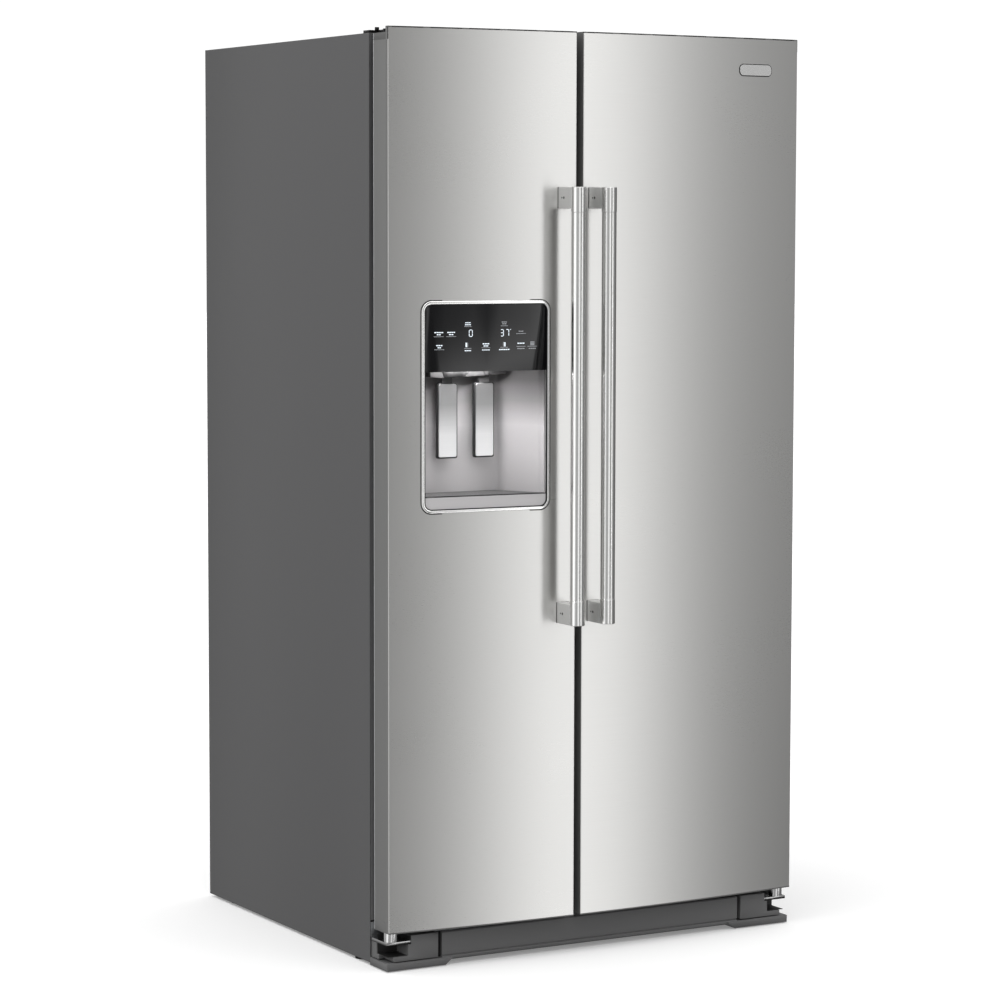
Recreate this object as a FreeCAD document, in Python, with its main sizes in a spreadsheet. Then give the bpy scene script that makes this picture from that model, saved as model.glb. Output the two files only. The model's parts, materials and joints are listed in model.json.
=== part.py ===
import FreeCAD, Part
import os
import re
import Sketcher

# Side-by-side refrigerator with a dispenser in the narrow freezer door.
# Frame: millimetres, +Z up, front towards -Y, the freezer on the -X side, the floor at Z = 0 and
# the origin under the middle of the overall box. Cutting tools run 1 mm past what they cut.

# ---------------------------------------------------------------- driving sizes, in millimetres
SIZES = {
    # overall
    "body_width": 902, "case_inset": 1, "cabinet_depth": 726, "door_height": 1678,
    "door_thickness": 59, "door_bulge": 23, "gasket_gap": 19, "door_lift": 74, "top_step": 9,
    "handle_reach": 89, "side_lift": 6,
    # door split
    "freezer_door_width": 387, "door_gap": 14.5,
    # cabinet walls
    "sheet": 1, "liner_wall": 2, "side_wall": 42, "divider": 48, "roof_wall": 46, "floor_wall": 46,
    "back_wall": 60, "base_height": 86, "machine_height": 250, "machine_depth": 230,
    # doors
    "skin": 1, "skin_return": 9, "cap_height": 24, "cap_lip": 2.5, "foot_cap_height": 21,
    "hinge_inset": 17, "pin_setback": 25, "pin_radius": 6, "pin_fit": 0.05, "pin_engage": 12,
    "seal_hinge_inset": 21, "seal_free_inset": 3, "seal_end_inset": 12, "seal_width": 13,
    "seal_clearance": 0.5, "dyke_depth": 60, "dyke_inset": 32, "dyke_wall": 12, "dyke_end_inset": 70,
    # door bins
    "bin_depth": 105, "bin_wall": 2.5, "bin_height": 90, "bin_gap": 2, "bin_free_inset": 50,
    "bin_hinge_inset": 60, "fridge_bin_low": 560, "fridge_bin_step": 330,
    "freezer_bin_low": 260, "freezer_bin_step": 300,
    # handles
    "bar_radius": 14.25, "tube_radius": 13.75, "bar_inset": 26, "bar_low": 640, "bar_length": 822,
    "end_casting": 47, "post_height": 40,
    # dispenser
    "bezel_hinge_side": 65.5, "bezel_free_side": 56.5, "bezel_low": 784, "bezel_height": 393, "bezel_rim": 7,
    "bezel_corner": 20, "bezel_proud": 2.5, "bezel_depth": 10, "panel_height": 124,
    "panel_proud": 0.6, "recess_depth": 92, "recess_back_width": 166, "recess_wall": 4,
    "bump_wall": 26, "tray_height": 24, "tray_lip": 5, "grille_plate": 3, "grille_slot": 5,
    "grille_step": 11, "paddle_width": 50, "paddle_height": 140, "paddle_thick": 5,
    "paddle_low": 96, "paddle_pitch": 79, "paddle_stand": 20, "paddle_stem": 22,
    "paddle_corner": 10, "pivot_radius": 3, "barrel_radius": 6, "paddle_pivot": 292,
    "chute_width": 46, "chute_rise": 60, "flap_thick": 3, "flap_margin": 3,
    "flap_barrel": 4, "flap_pin": 1.5, "clearance": 0.4,
    # ice bin and auger
    "ice_bin_low": 1240, "ice_bin_height": 300, "ice_bin_wall": 3, "auger_shaft": 7,
    "auger_reach": 38, "auger_blade": 6, "auger_height": 120, "auger_bore_fit": 0.05,
    # nameplate
    "plate_x": 758, "plate_width": 80, "plate_height": 24, "plate_low": 1604, "plate_thick": 2,
    "plate_corner": 11,
    # top hinge, in a recess of the door's top cap
    "hinge_plate": 5, "hinge_width": 50, "hinge_rear": 24, "hinge_air": 2, "recess_front": 10,
    "recess_side": 6, "screw_radius": 4, "screw_head": 5.5, "screw_pitch": 16,
    # bottom hinge
    "foot_hinge_drop": 25, "foot_hinge_plate": 6, "foot_sleeve": 13,
    # base grille
    "grille_front": 10, "grille_thick": 9, "grille_top_gap": 9, "grille_groove_low": 18,
    "grille_skirt_low": 10, "grille_end_width": 110, "grille_foot_width": 24, "grille_gap": 8,
    "end_notch_width": 46, "end_notch_drop": 38, "end_notch_depth": 46, "end_floor_gap": 2,
    "end_corner": 16, "end_seam": 2, "end_set_back": 3, "grille_groove_depth": 2.5,
    "grille_groove_height": 2.5, "grille_chamfer": 17,
    # chassis
    "rail_width": 34, "rail_wall": 4, "rail_low": 16, "rail_gap": 3, "roller_radius": 20,
    "roller_width": 18, "axle_radius": 4, "axle_fit": 0.05, "front_roller_lift": 2,
    "front_roller_y": 120, "rear_roller_y": 90, "leg_y": 66, "leg_radius": 6, "leg_fit": 0.05,
    "foot_radius": 15, "foot_height": 9, "leg_height": 60, "pan_sheet": 2,
    # machine compartment
    "compressor_radius": 75, "compressor_height": 150, "compressor_x": 210, "neck_radius": 5,
    "neck_height": 20, "condenser_width": 220, "condenser_height": 150, "condenser_depth": 60,
    "condenser_x": -300, "shroud_wall": 3, "shroud_depth": 34, "fan_radius": 62,
    "fan_hub": 16, "fan_depth": 16, "fan_gap": 5, "fan_blade": 26, "blade_thick": 3,
    "shaft_radius": 3, "motor_radius": 20, "motor_depth": 26, "blade_count": 5,
    "cover_plate": 2, "louvre_height": 6, "louvre_step": 16, "louvre_margin": 40,
    "louvre_x": 260, "louvre_width": 220, "louvre_low": 96, "dome_radius": 60, "dome_height": 38,
    "drip_height": 24, "drip_width": 240, "drip_depth": 90, "drip_wall": 2,
    "valve_width": 46, "valve_depth": 40, "valve_height": 50, "valve_x": 60, "valve_z": 150,
    "port_radius": 5.5, "gland_radius": 10,
    "gland_bore": 4.5, "gland_depth": 12, "gland_x": 380, "gland_z": 60,
    # freezer fittings
    "evaporator_depth": 52, "evaporator_gap": 6, "evaporator_height": 420,
    "evaporator_low": 420, "coil_margin": 24, "duct_wall": 3, "duct_depth": 84, "duct_top": 140,
    "duct_fan_z": 1040, "shelf_front": 135, "shelf_thick": 8, "shelf_air": 3,
    "freezer_shelf_low": 620, "freezer_shelf_step": 320, "wire": 4,
    "basket_front": 130, "basket_wall": 3, "basket_low": 24, "basket_height": 150,
    "basket_side": 6, "basket_air": 71, "ice_maker_height": 90, "ice_maker_depth": 170,
    "ice_maker_side": 14, "ice_maker_drop": 6,
    # fridge fittings
    "pane_thick": 4, "frame_width": 12, "frame_height": 12, "fridge_shelf_low": 720,
    "fridge_shelf_step": 290, "fridge_shelf_depth": 400, "crisper_low": 12, "crisper_height": 170,
    "crisper_step": 186, "crisper_side": 8, "crisper_wall": 3, "crisper_front": 120,
    "crisper_upper_air": 146, "crisper_lower_air": 16, "crisper_grip": 22,
    "crisper_lid_gap": 8, "control_height": 46, "control_depth": 300, "filter_radius": 22,
    "filter_length": 190, "filter_side": 60,
}

# ------------------------------------------------ places worked out from the driving sizes
PLACES = {
    "half_width": "body_width / 2",
    "face": "-(cabinet_depth + gasket_gap + door_thickness - handle_reach) / 2",
    "door_back": "face + door_thickness",
    "case_front": "door_back + gasket_gap",
    "case_back": "case_front + cabinet_depth",
    "case_half": "half_width - case_inset",
    "bow_radius": "(half_width * half_width + door_bulge * door_bulge) / (2 * door_bulge)",
    "bow_y": "face - door_bulge + bow_radius",
    "ahead": "face - door_bulge - handle_reach",
    "door_top": "door_lift + door_height",
    "case_top": "door_top - top_step",
    "freezer_x0": "-half_width",
    "freezer_x1": "freezer_x0 + freezer_door_width",
    "fridge_x0": "freezer_x1 + door_gap",
    "fridge_x1": "half_width",
    "divider_x": "(freezer_x1 + fridge_x0) / 2",
    "pin_x": "half_width - hinge_inset",
    "pin_y": "face + pin_setback",
    "top_pin_z0": "case_top - pin_engage",
    # cabinet cavities
    "cold_x0": "-case_half + side_wall",
    "cold_x1": "divider_x - divider / 2",
    "cool_x0": "divider_x + divider / 2",
    "cool_x1": "case_half - side_wall",
    "cavity_z0": "base_height + floor_wall",
    "cavity_z1": "case_top - roof_wall",
    "cavity_back": "case_back - back_wall",
    "step_z": "machine_height + floor_wall",
    "step_y": "case_back - machine_depth - back_wall",
    "duct_y": "cavity_back - duct_depth",
    "machine_y": "case_back - machine_depth",
    # door insides
    "dyke_back": "door_back + dyke_depth",
    # dispenser
    "bezel_x0": "freezer_x0 + bezel_hinge_side",
    "bezel_x1": "freezer_x1 - bezel_free_side",
    "bezel_mid": "(bezel_x0 + bezel_x1) / 2",
    "bezel_z0": "door_lift + bezel_low",
    "bezel_z1": "bezel_z0 + bezel_height",
    "opening_x0": "bezel_x0 + bezel_rim",
    "opening_x1": "bezel_x1 - bezel_rim",
    "opening_z0": "bezel_z0 + bezel_rim",
    "opening_z1": "bezel_z1 - bezel_rim",
    "panel_z0": "opening_z1 - panel_height",
    "recess_back": "face + recess_depth",
    "tray_z1": "opening_z0 + tray_height",
    "paddle_y": "recess_back - paddle_stand",
    "pivot_z": "bezel_z0 + paddle_pivot",
    "flap_pin_y": "recess_back - flap_barrel - clearance",
    "flap_pin_z": "opening_z1 - recess_wall - flap_barrel - clearance",
    "chute_y0": "door_back + liner_wall",
    "chute_y1": "recess_back - 2 * recess_wall",
    # chassis
    "base_z1": "base_height - rail_gap",
    "rail_x1": "case_half - sheet - clearance",
    "rail_x0": "rail_x1 - rail_width",
    "roller_mid": "rail_x1 - rail_width / 2",
}

# how many of each repeated feature
GRILLE_SLOTS = 11
AUGER_BLADES = 3
LOUVRE_ROWS = 8
BRACKET_SCREWS = 2
DUCT_SLOTS = 4
FREEZER_SHELVES = 2
SHELF_WIRES = 9
FRIDGE_SHELVES = 3

doc = FreeCAD.newDocument("refrigerator")
sheet = doc.addObject("Spreadsheet::Sheet", "sizes")
nodes = []
WORD = re.compile(r"\b[a-z][a-z_0-9]*\b")


def fill_sheet():
    """Write every driving size into the sheet, one aliased cell each."""
    for row, (alias, size) in enumerate(SIZES.items(), start=1):
        sheet.set(f"A{row}", alias)
        sheet.set(f"B{row}", str(size))
        sheet.setAlias(f"B{row}", alias)
    doc.recompute()


def expand(text):
    """Turn a formula of size and place names into an expression on the sheet's cells."""
    def swap(match):
        word = match.group(0)
        if word in PLACES:
            return "(" + expand(PLACES[word]) + ")"
        return "sizes." + word if word in SIZES else word
    return WORD.sub(swap, str(text))


def bind(item, target, text):
    item.setExpression(target, expand(text))


def value(text):
    """The present value of a formula, used to draw a sketch near its solved shape."""
    found = sheet.evalExpression(expand(text))
    return float(getattr(found, "Value", found))


def place(item, x, y, z):
    bind(item, "Placement.Base.x", x)
    bind(item, "Placement.Base.y", y)
    bind(item, "Placement.Base.z", z)


# ---------------------------------------------------------------- primitives and booleans
def box(name, x0, x1, y0, y1, z0, z1):
    item = doc.addObject("Part::Box", name)
    bind(item, "Length", f"({x1}) - ({x0})")
    bind(item, "Width", f"({y1}) - ({y0})")
    bind(item, "Height", f"({z1}) - ({z0})")
    place(item, x0, y0, z0)
    return item


TURNS = {"x": FreeCAD.Rotation(FreeCAD.Vector(0, 1, 0), 90),
         "y": FreeCAD.Rotation(FreeCAD.Vector(1, 0, 0), -90),
         "z": FreeCAD.Rotation()}


def rod(name, axis, x, y, z, radius, length):
    """A cylinder that starts at x, y, z and runs along the positive axis."""
    item = doc.addObject("Part::Cylinder", name)
    item.Placement = FreeCAD.Placement(FreeCAD.Vector(), TURNS[axis])
    bind(item, "Radius", radius)
    bind(item, "Height", length)
    place(item, x, y, z)
    return item


def fuse(name, *items):
    item = doc.addObject("Part::MultiFuse", name)
    item.Shapes = list(items)
    return item


def cut(name, base, *tools):
    item = doc.addObject("Part::Cut", name)
    item.Base = base
    item.Tool = tools[0] if len(tools) == 1 else fuse(name + "_tools", *tools)
    return item


def common(name, first, second):
    item = doc.addObject("Part::Common", name)
    item.Base = first
    item.Tool = second
    return item


def node(label, item):
    """Keep an object as the finished sub-part of that name."""
    item.Label = label
    nodes.append(item)
    return item


SIDES = (("_left", -1), ("_right", 1))


def span(sign, inner, outer):
    """The X limits of a piece between two distances from the middle, on either side."""
    return (f"-({outer})", f"-({inner})") if sign < 0 else (inner, outer)


# ---------------------------------------------------------------- sketched bodies
NORMAL_SIGN = {"XY_Plane": 1, "XZ_Plane": -1, "YZ_Plane": 1}


def sketch_on(body, name, plane, start, length):
    """A sketch whose pad of that length fills start to start + length along the plane's axis."""
    sketch = body.newObject("Sketcher::SketchObject", name)
    planes = [item for item in body.Origin.OriginFeatures if item.Role == plane]
    sketch.AttachmentSupport = [(planes[0], "")]
    sketch.MapMode = "FlatFace"
    if NORMAL_SIGN[plane] > 0:
        bind(sketch, "AttachmentOffset.Base.z", start)
    else:
        bind(sketch, "AttachmentOffset.Base.z", f"-(({start}) + ({length}))")
    return sketch


def pin_point(sketch, line, end, across, up):
    for kind, text in (("DistanceX", across), ("DistanceY", up)):
        index = sketch.addConstraint(Sketcher.Constraint(kind, -1, 1, line, end, value(text)))
        sketch.setExpression(f"Constraints[{index}]", expand(text))


def draw_outline(sketch, corners):
    """A closed outline of straight edges through corners given as pairs of formulas."""
    points = [FreeCAD.Vector(value(across), value(up), 0) for across, up in corners]
    count = len(points)
    for index in range(count):
        following = points[(index + 1) % count]
        sketch.addGeometry(Part.LineSegment(points[index], following))
    for index in range(count):
        following = (index + 1) % count
        sketch.addConstraint(Sketcher.Constraint("Coincident", index, 2, following, 1))
    for index, (across, up) in enumerate(corners):
        pin_point(sketch, index, 1, across, up)


def draw_rounded(sketch, x0, x1, z0, z1, corner):
    """A rectangle with four equal round corners, all sizes bound to formulas."""
    left, right, low, high = value(x0), value(x1), value(z0), value(z1)
    round_size = value(corner)
    west, east = left + round_size, right - round_size
    south, north = low + round_size, high - round_size
    edges = [((west, low), (east, low)), ((right, south), (right, north)),
             ((east, high), (west, high)), ((left, north), (left, south))]
    for start, end in edges:
        sketch.addGeometry(Part.LineSegment(FreeCAD.Vector(*start, 0), FreeCAD.Vector(*end, 0)))
    centres = [(east, south, -90), (east, north, 0), (west, north, 90), (west, south, 180)]
    for across, up, start in centres:
        circle = Part.Circle(FreeCAD.Vector(across, up, 0), FreeCAD.Vector(0, 0, 1), round_size)
        first, last = (FreeCAD.Units.Quantity(angle, FreeCAD.Units.Angle).getValueAs("rad").Value
                       for angle in (start, start + 90))
        sketch.addGeometry(Part.ArcOfCircle(circle, first, last))
    for index in range(4):
        arc = 4 + index
        following = (index + 1) % 4
        sketch.addConstraint(Sketcher.Constraint("Tangent", index, 2, arc, 1))
        sketch.addConstraint(Sketcher.Constraint("Tangent", arc, 2, following, 1))
    for index, kind in enumerate(("Horizontal", "Vertical", "Horizontal", "Vertical")):
        sketch.addConstraint(Sketcher.Constraint(kind, index))
    for line, kind, text in ((3, "DistanceX", x0), (1, "DistanceX", x1),
                             (0, "DistanceY", z0), (2, "DistanceY", z1)):
        index = sketch.addConstraint(Sketcher.Constraint(kind, -1, 1, line, 1, value(text)))
        sketch.setExpression(f"Constraints[{index}]", expand(text))
    for arc in range(4, 8):
        index = sketch.addConstraint(Sketcher.Constraint("Radius", arc, round_size))
        sketch.setExpression(f"Constraints[{index}]", expand(corner))


def pad(body, name, sketch, length):
    feature = body.newObject("PartDesign::Pad", name)
    feature.Profile = sketch
    bind(feature, "Length", length)
    return feature


def extrusion(name, plane, corners, start, length):
    """A body padded from a straight-edged outline."""
    body = doc.addObject("PartDesign::Body", name)
    sketch = sketch_on(body, name + "_outline", plane, start, length)
    draw_outline(sketch, corners)
    pad(body, name + "_pad", sketch, length)
    return body


def rounded_block(name, x0, x1, z0, z1, corner, y0, y1):
    """A body with a round-cornered outline seen from the front, between two Y planes."""
    body = doc.addObject("PartDesign::Body", name)
    length = f"({y1}) - ({y0})"
    sketch = sketch_on(body, name + "_outline", "XZ_Plane", y0, length)
    draw_rounded(sketch, x0, x1, z0, z1, corner)
    pad(body, name + "_pad", sketch, length)
    return body


def fan(name, x, y, z):
    """A hub with flat blades, made about the Z axis and then laid along Y."""
    body = doc.addObject("PartDesign::Body", name)
    hub_sketch = sketch_on(body, name + "_hub_outline", "XY_Plane", "0", "fan_depth")
    for radius in ("fan_hub", "shaft_radius + axle_fit"):
        circle = Part.Circle(FreeCAD.Vector(), FreeCAD.Vector(0, 0, 1), value(radius))
        index = hub_sketch.addGeometry(circle)
        hub_sketch.addConstraint(Sketcher.Constraint("Coincident", index, 3, -1, 1))
        rule = hub_sketch.addConstraint(Sketcher.Constraint("Radius", index, value(radius)))
        hub_sketch.setExpression(f"Constraints[{rule}]", expand(radius))
    pad(body, name + "_hub", hub_sketch, "fan_depth")
    blade_sketch = sketch_on(body, name + "_blade_outline", "XY_Plane", "fan_gap", "blade_thick")
    draw_outline(blade_sketch, [("fan_hub - 2 * blade_thick", "-fan_blade / 4"),
                                ("fan_radius - fan_gap", "-fan_blade / 2"),
                                ("fan_radius - fan_gap", "fan_blade / 2"),
                                ("fan_hub - 2 * blade_thick", "fan_blade / 4")])
    blade = pad(body, name + "_blade", blade_sketch, "blade_thick")
    ring = body.newObject("PartDesign::PolarPattern", name + "_ring")
    ring.Originals = [blade]
    ring.Axis = (hub_sketch, ["N_Axis"])
    ring.Angle = 360
    bind(ring, "Occurrences", "blade_count")
    body.Tip = ring
    body.Placement = FreeCAD.Placement(FreeCAD.Vector(), TURNS["y"])
    place(body, x, y, z)
    return body


# ---------------------------------------------------------------- the bowed door front
def bow(name, offset, z0, z1):
    """The upright cylinder that both door fronts share, grown by an offset."""
    return rod(name, "z", "0", "bow_y", z0, f"bow_radius + ({offset})", f"({z1}) - ({z0})")


def bowed_slab(name, x0, x1, y1, z0, z1, offset):
    block = box(name + "_block", x0, x1, "ahead", y1, z0, z1)
    return common(name, block, bow(name + "_bow", offset, z0, z1))


def door_fill(name, x0, x1, z0, z1):
    """What lies behind the door skin between two heights: flush with it at the sides."""
    front = bowed_slab(name + "_front", f"{x0} + skin", f"{x1} - skin", "door_back - liner_wall",
                       z0, z1, "-skin")
    rear = box(name + "_rear", x0, x1, "face + skin_return", "door_back - liner_wall", z0, z1)
    return fuse(name, front, rear)


DOORS = {
    "freezer": {"x0": "freezer_x0", "x1": "freezer_x1", "pin": "-pin_x", "bar": "freezer_x1 - bar_inset",
                "seal_x0": "freezer_x0 + seal_hinge_inset", "seal_x1": "freezer_x1 - seal_free_inset",
                "dyke_x0": "freezer_x0 + bin_hinge_inset", "dyke_x1": "freezer_x1 - dyke_inset",
                "bin_x0": "freezer_x0 + bin_hinge_inset + dyke_wall + bin_gap",
                "bin_x1": "freezer_x1 - bin_free_inset",
                "recess_x0": "freezer_x0 - 1", "recess_x1": "freezer_x0 + hinge_width + recess_side",
                "bin_low": "freezer_bin_low", "bin_step": "freezer_bin_step", "bins": 2},
    "fridge": {"x0": "fridge_x0", "x1": "fridge_x1", "pin": "pin_x", "bar": "fridge_x0 + bar_inset",
               "seal_x0": "fridge_x0 + seal_free_inset", "seal_x1": "fridge_x1 - seal_hinge_inset",
               "dyke_x0": "fridge_x0 + dyke_inset", "dyke_x1": "fridge_x1 - bin_hinge_inset",
               "bin_x0": "fridge_x0 + bin_free_inset",
               "bin_x1": "fridge_x1 - bin_hinge_inset - dyke_wall - bin_gap",
               "recess_x0": "fridge_x1 - hinge_width - recess_side", "recess_x1": "fridge_x1 + 1",
               "bin_low": "fridge_bin_low", "bin_step": "fridge_bin_step", "bins": 3},
}


def dispenser_outline(name, grow, y0, y1):
    return rounded_block(name, f"bezel_x0 - ({grow})", f"bezel_x1 + ({grow})", f"bezel_z0 - ({grow})",
                         f"bezel_z1 + ({grow})", f"bezel_corner + ({grow})", y0, y1)


def chute_tool(name):
    """The upright ice passage from the bin floor down into the recess, as a solid."""
    return box(name, "bezel_mid - chute_width / 2", "bezel_mid + chute_width / 2", "chute_y0",
               "chute_y1", "opening_z1 - 2 * recess_wall", "bezel_z1 + chute_rise + 2 * liner_wall")


def door_skin(door):
    side = DOORS[door]
    name = door + "_door_skin"
    low, high = "door_lift + cap_lip", "door_top - cap_lip"
    outer = bowed_slab(name + "_outer", side["x0"], side["x1"], "face + skin_return", low, high, "0")
    inner = bowed_slab(name + "_inner", side["x0"] + " + skin", side["x1"] + " - skin",
                       "face + skin_return + skin", f"{low} - skin", f"{high} + skin", "-skin")
    tools = [inner]
    if door == "freezer":
        tools.append(dispenser_outline(name + "_window", "0", "ahead", "recess_back"))
    node(name, cut(name, outer, *tools))


def door_core(door):
    side = DOORS[door]
    name = door + "_door_core"
    low, high = "door_lift + foot_cap_height", "door_top - cap_height"
    slab = door_fill(name + "_slab", side["x0"], side["x1"], low, high)
    if door == "fridge":
        node(name, slab)
        return
    bump = box(name + "_bump", "bezel_x0", "bezel_x1", "door_back - liner_wall - skin",
               "recess_back + bump_wall - liner_wall", "bezel_z0", "bezel_z1 + chute_rise")
    pocket = dispenser_outline(name + "_pocket", "0", "ahead", "recess_back + recess_wall")
    node(name, cut(name, fuse(name + "_block", slab, bump), pocket, chute_tool(name + "_chute")))


def door_caps(door):
    side = DOORS[door]
    name = door + "_door_caps"
    high_edge = "door_top - cap_lip"
    low_edge = "door_lift + cap_lip"
    top = fuse(name + "_top",
               door_fill(name + "_top_fill", side["x0"], side["x1"], "door_top - cap_height", high_edge),
               bowed_slab(name + "_top_lip", side["x0"], side["x1"], "door_back - liner_wall",
                          high_edge, "door_top", "0"))
    foot = fuse(name + "_foot",
                door_fill(name + "_foot_fill", side["x0"], side["x1"], low_edge,
                          "door_lift + foot_cap_height"),
                bowed_slab(name + "_foot_lip", side["x0"], side["x1"], "door_back - liner_wall",
                           "door_lift", low_edge, "0"))
    top_bore = rod(name + "_top_bore", "z", side["pin"], "pin_y", "top_pin_z0 - hinge_air",
                   "pin_radius + pin_fit", "pin_engage + 2 * hinge_air")
    foot_bore = rod(name + "_foot_bore", "z", side["pin"], "pin_y", "door_lift",
                    "pin_radius + pin_fit", "pin_engage + hinge_air")
    recess = box(name + "_recess", side["recess_x0"], side["recess_x1"], "face + recess_front",
                 "door_back + 1", "case_top - hinge_air", "door_top + 1")
    node(name, fuse(name, cut(name + "_top_bored", top, top_bore, recess),
                    cut(name + "_foot_bored", foot, foot_bore)))


def door_liner(door):
    side = DOORS[door]
    name = door + "_door_liner"
    sheet_back = box(name + "_sheet", side["x0"], side["x1"], "door_back - liner_wall", "door_back",
                     "door_lift", "door_top")
    low, high = "door_lift + dyke_end_inset", "door_top - dyke_end_inset"
    ring = box(name + "_ring", side["dyke_x0"], side["dyke_x1"], "door_back", "dyke_back", low, high)
    hollow = box(name + "_hollow", side["dyke_x0"] + " + dyke_wall", side["dyke_x1"] + " - dyke_wall",
                 "door_back", "dyke_back + 1", f"{low} + dyke_wall", f"{high} - dyke_wall")
    recess = box(name + "_recess", side["recess_x0"], side["recess_x1"], "face", "door_back + 1",
                 "case_top - hinge_air", "door_top + 1")
    shape = fuse(name + "_whole", cut(name + "_notched", sheet_back, recess),
                 cut(name + "_dyke", ring, hollow))
    if door == "fridge":
        node(name, shape)
        return
    hood = box(name + "_hood", "bezel_x0 - liner_wall", "bezel_x1 + liner_wall", "door_back - liner_wall",
               "recess_back + bump_wall", "bezel_z0 - liner_wall", "bezel_z1 + chute_rise + liner_wall")
    room = box(name + "_room", "bezel_x0", "bezel_x1", "door_back - 2 * liner_wall",
               "recess_back + bump_wall - liner_wall", "bezel_z0", "bezel_z1 + chute_rise")
    hooded = fuse(name + "_hooded", shape, hood)
    node(name, cut(name, hooded, room, chute_tool(name + "_chute")))


def door_gasket(door):
    side = DOORS[door]
    name = door + "_door_gasket"
    low, high = "door_lift + seal_end_inset", "case_top - seal_end_inset"
    outer = box(name + "_outer", side["seal_x0"], side["seal_x1"], "door_back",
                "case_front - seal_clearance", low, high)
    inner = box(name + "_inner", side["seal_x0"] + " + seal_width", side["seal_x1"] + " - seal_width",
                "door_back - 1", "case_front + 1", f"{low} + seal_width", f"{high} - seal_width")
    node(name, cut(name, outer, inner))


def tub(name, x0, x1, y0, y1, z0, z1, wall):
    """An open-topped bin with one wall thickness."""
    outer = box(name + "_outer", x0, x1, y0, y1, z0, z1)
    inner = box(name + "_inner", f"{x0} + {wall}", f"{x1} - {wall}", f"{y0} + {wall}",
                f"{y1} - {wall}", f"{z0} + {wall}", f"{z1} + 1")
    return cut(name, outer, inner)


def door_bins(door):
    side = DOORS[door]
    name = door + "_door_bins"
    bins = []
    for index in range(side["bins"]):
        low = f"door_lift + {side['bin_low']} + {index} * {side['bin_step']}"
        bins.append(tub(f"{name}_{index + 1}", side["bin_x0"], side["bin_x1"], "door_back",
                        "door_back + bin_depth", low, f"{low} + bin_height", "bin_wall"))
    node(name, fuse(name, *bins))


def door_handle(door):
    """Two end castings with posts, and the tube between them."""
    side = DOORS[door]
    bar_x = side["bar"]
    bar_y = "face - handle_reach + bar_radius"
    low = "bar_low"
    high = f"{low} + bar_length"
    name = door + "_handle_posts"
    castings = []
    for tag, start, post_start in (("_low", low, low), ("_high", f"{high} - end_casting",
                                                        f"{high} - post_height")):
        barrel = rod(name + tag + "_barrel", "z", bar_x, bar_y, start, "bar_radius", "end_casting")
        post = box(name + tag + "_post", f"{bar_x} - bar_radius", f"{bar_x} + bar_radius", bar_y,
                   "face", post_start, f"{post_start} + post_height")
        trimmed = cut(name + tag + "_trim", post, bow(name + tag + "_bow", "0", f"{post_start} - 1",
                                                      f"{post_start} + post_height + 1"))
        castings.append(fuse(name + tag, barrel, trimmed))
    node(name, fuse(name, *castings))
    node(door + "_handle_bar", rod(door + "_handle_bar", "z", bar_x, bar_y, f"{low} + end_casting",
                                   "tube_radius", "bar_length - 2 * end_casting"))


def nameplate():
    x0 = "plate_x - half_width"
    z0 = "door_lift + plate_low"
    blank = rounded_block("plate_blank", x0, f"{x0} + plate_width", z0, f"{z0} + plate_height",
                          "plate_corner", "ahead", "face + 1")
    behind = bow("plate_behind", "0", f"{z0} - 1", f"{z0} + plate_height + 1")
    ahead = bow("plate_ahead", "plate_thick", f"{z0} - 1", f"{z0} + plate_height + 1")
    node("nameplate", cut("nameplate", common("plate_bowed", blank, ahead), behind))


# ---------------------------------------------------------------- dispenser
def dispenser_bezel():
    tall = ("bezel_z0 - 1", "bezel_z1 + 1")
    outer = dispenser_outline("bezel_outer", "0", "ahead", "door_back")
    inner = rounded_block("bezel_inner", "opening_x0", "opening_x1", "opening_z0", "opening_z1",
                          "bezel_corner - bezel_rim", "ahead - 1", "door_back + 1")
    ring = cut("bezel_ring", outer, inner)
    proud = common("bezel_proud_face", ring, bow("bezel_bow", "bezel_proud", *tall))
    node("dispenser_bezel", cut("dispenser_bezel", proud, bow("bezel_back", "-bezel_depth", *tall)))


def dispenser_panel():
    tall = ("panel_z0 - 1", "bezel_z1 + 1")
    blank = rounded_block("panel_blank", "opening_x0", "opening_x1", "panel_z0", "opening_z1",
                          "bezel_corner - bezel_rim", "ahead", "door_back")
    square = box("panel_square", "opening_x0", "opening_x1", "ahead", "door_back", "panel_z0",
                 "opening_z1 - bezel_corner")
    proud = common("panel_bowed", fuse("panel_slab", blank, square),
                   bow("panel_bow", "panel_proud", *tall))
    node("dispenser_panel", cut("dispenser_panel", proud, bow("panel_back", "-bezel_depth", *tall)))


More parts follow.
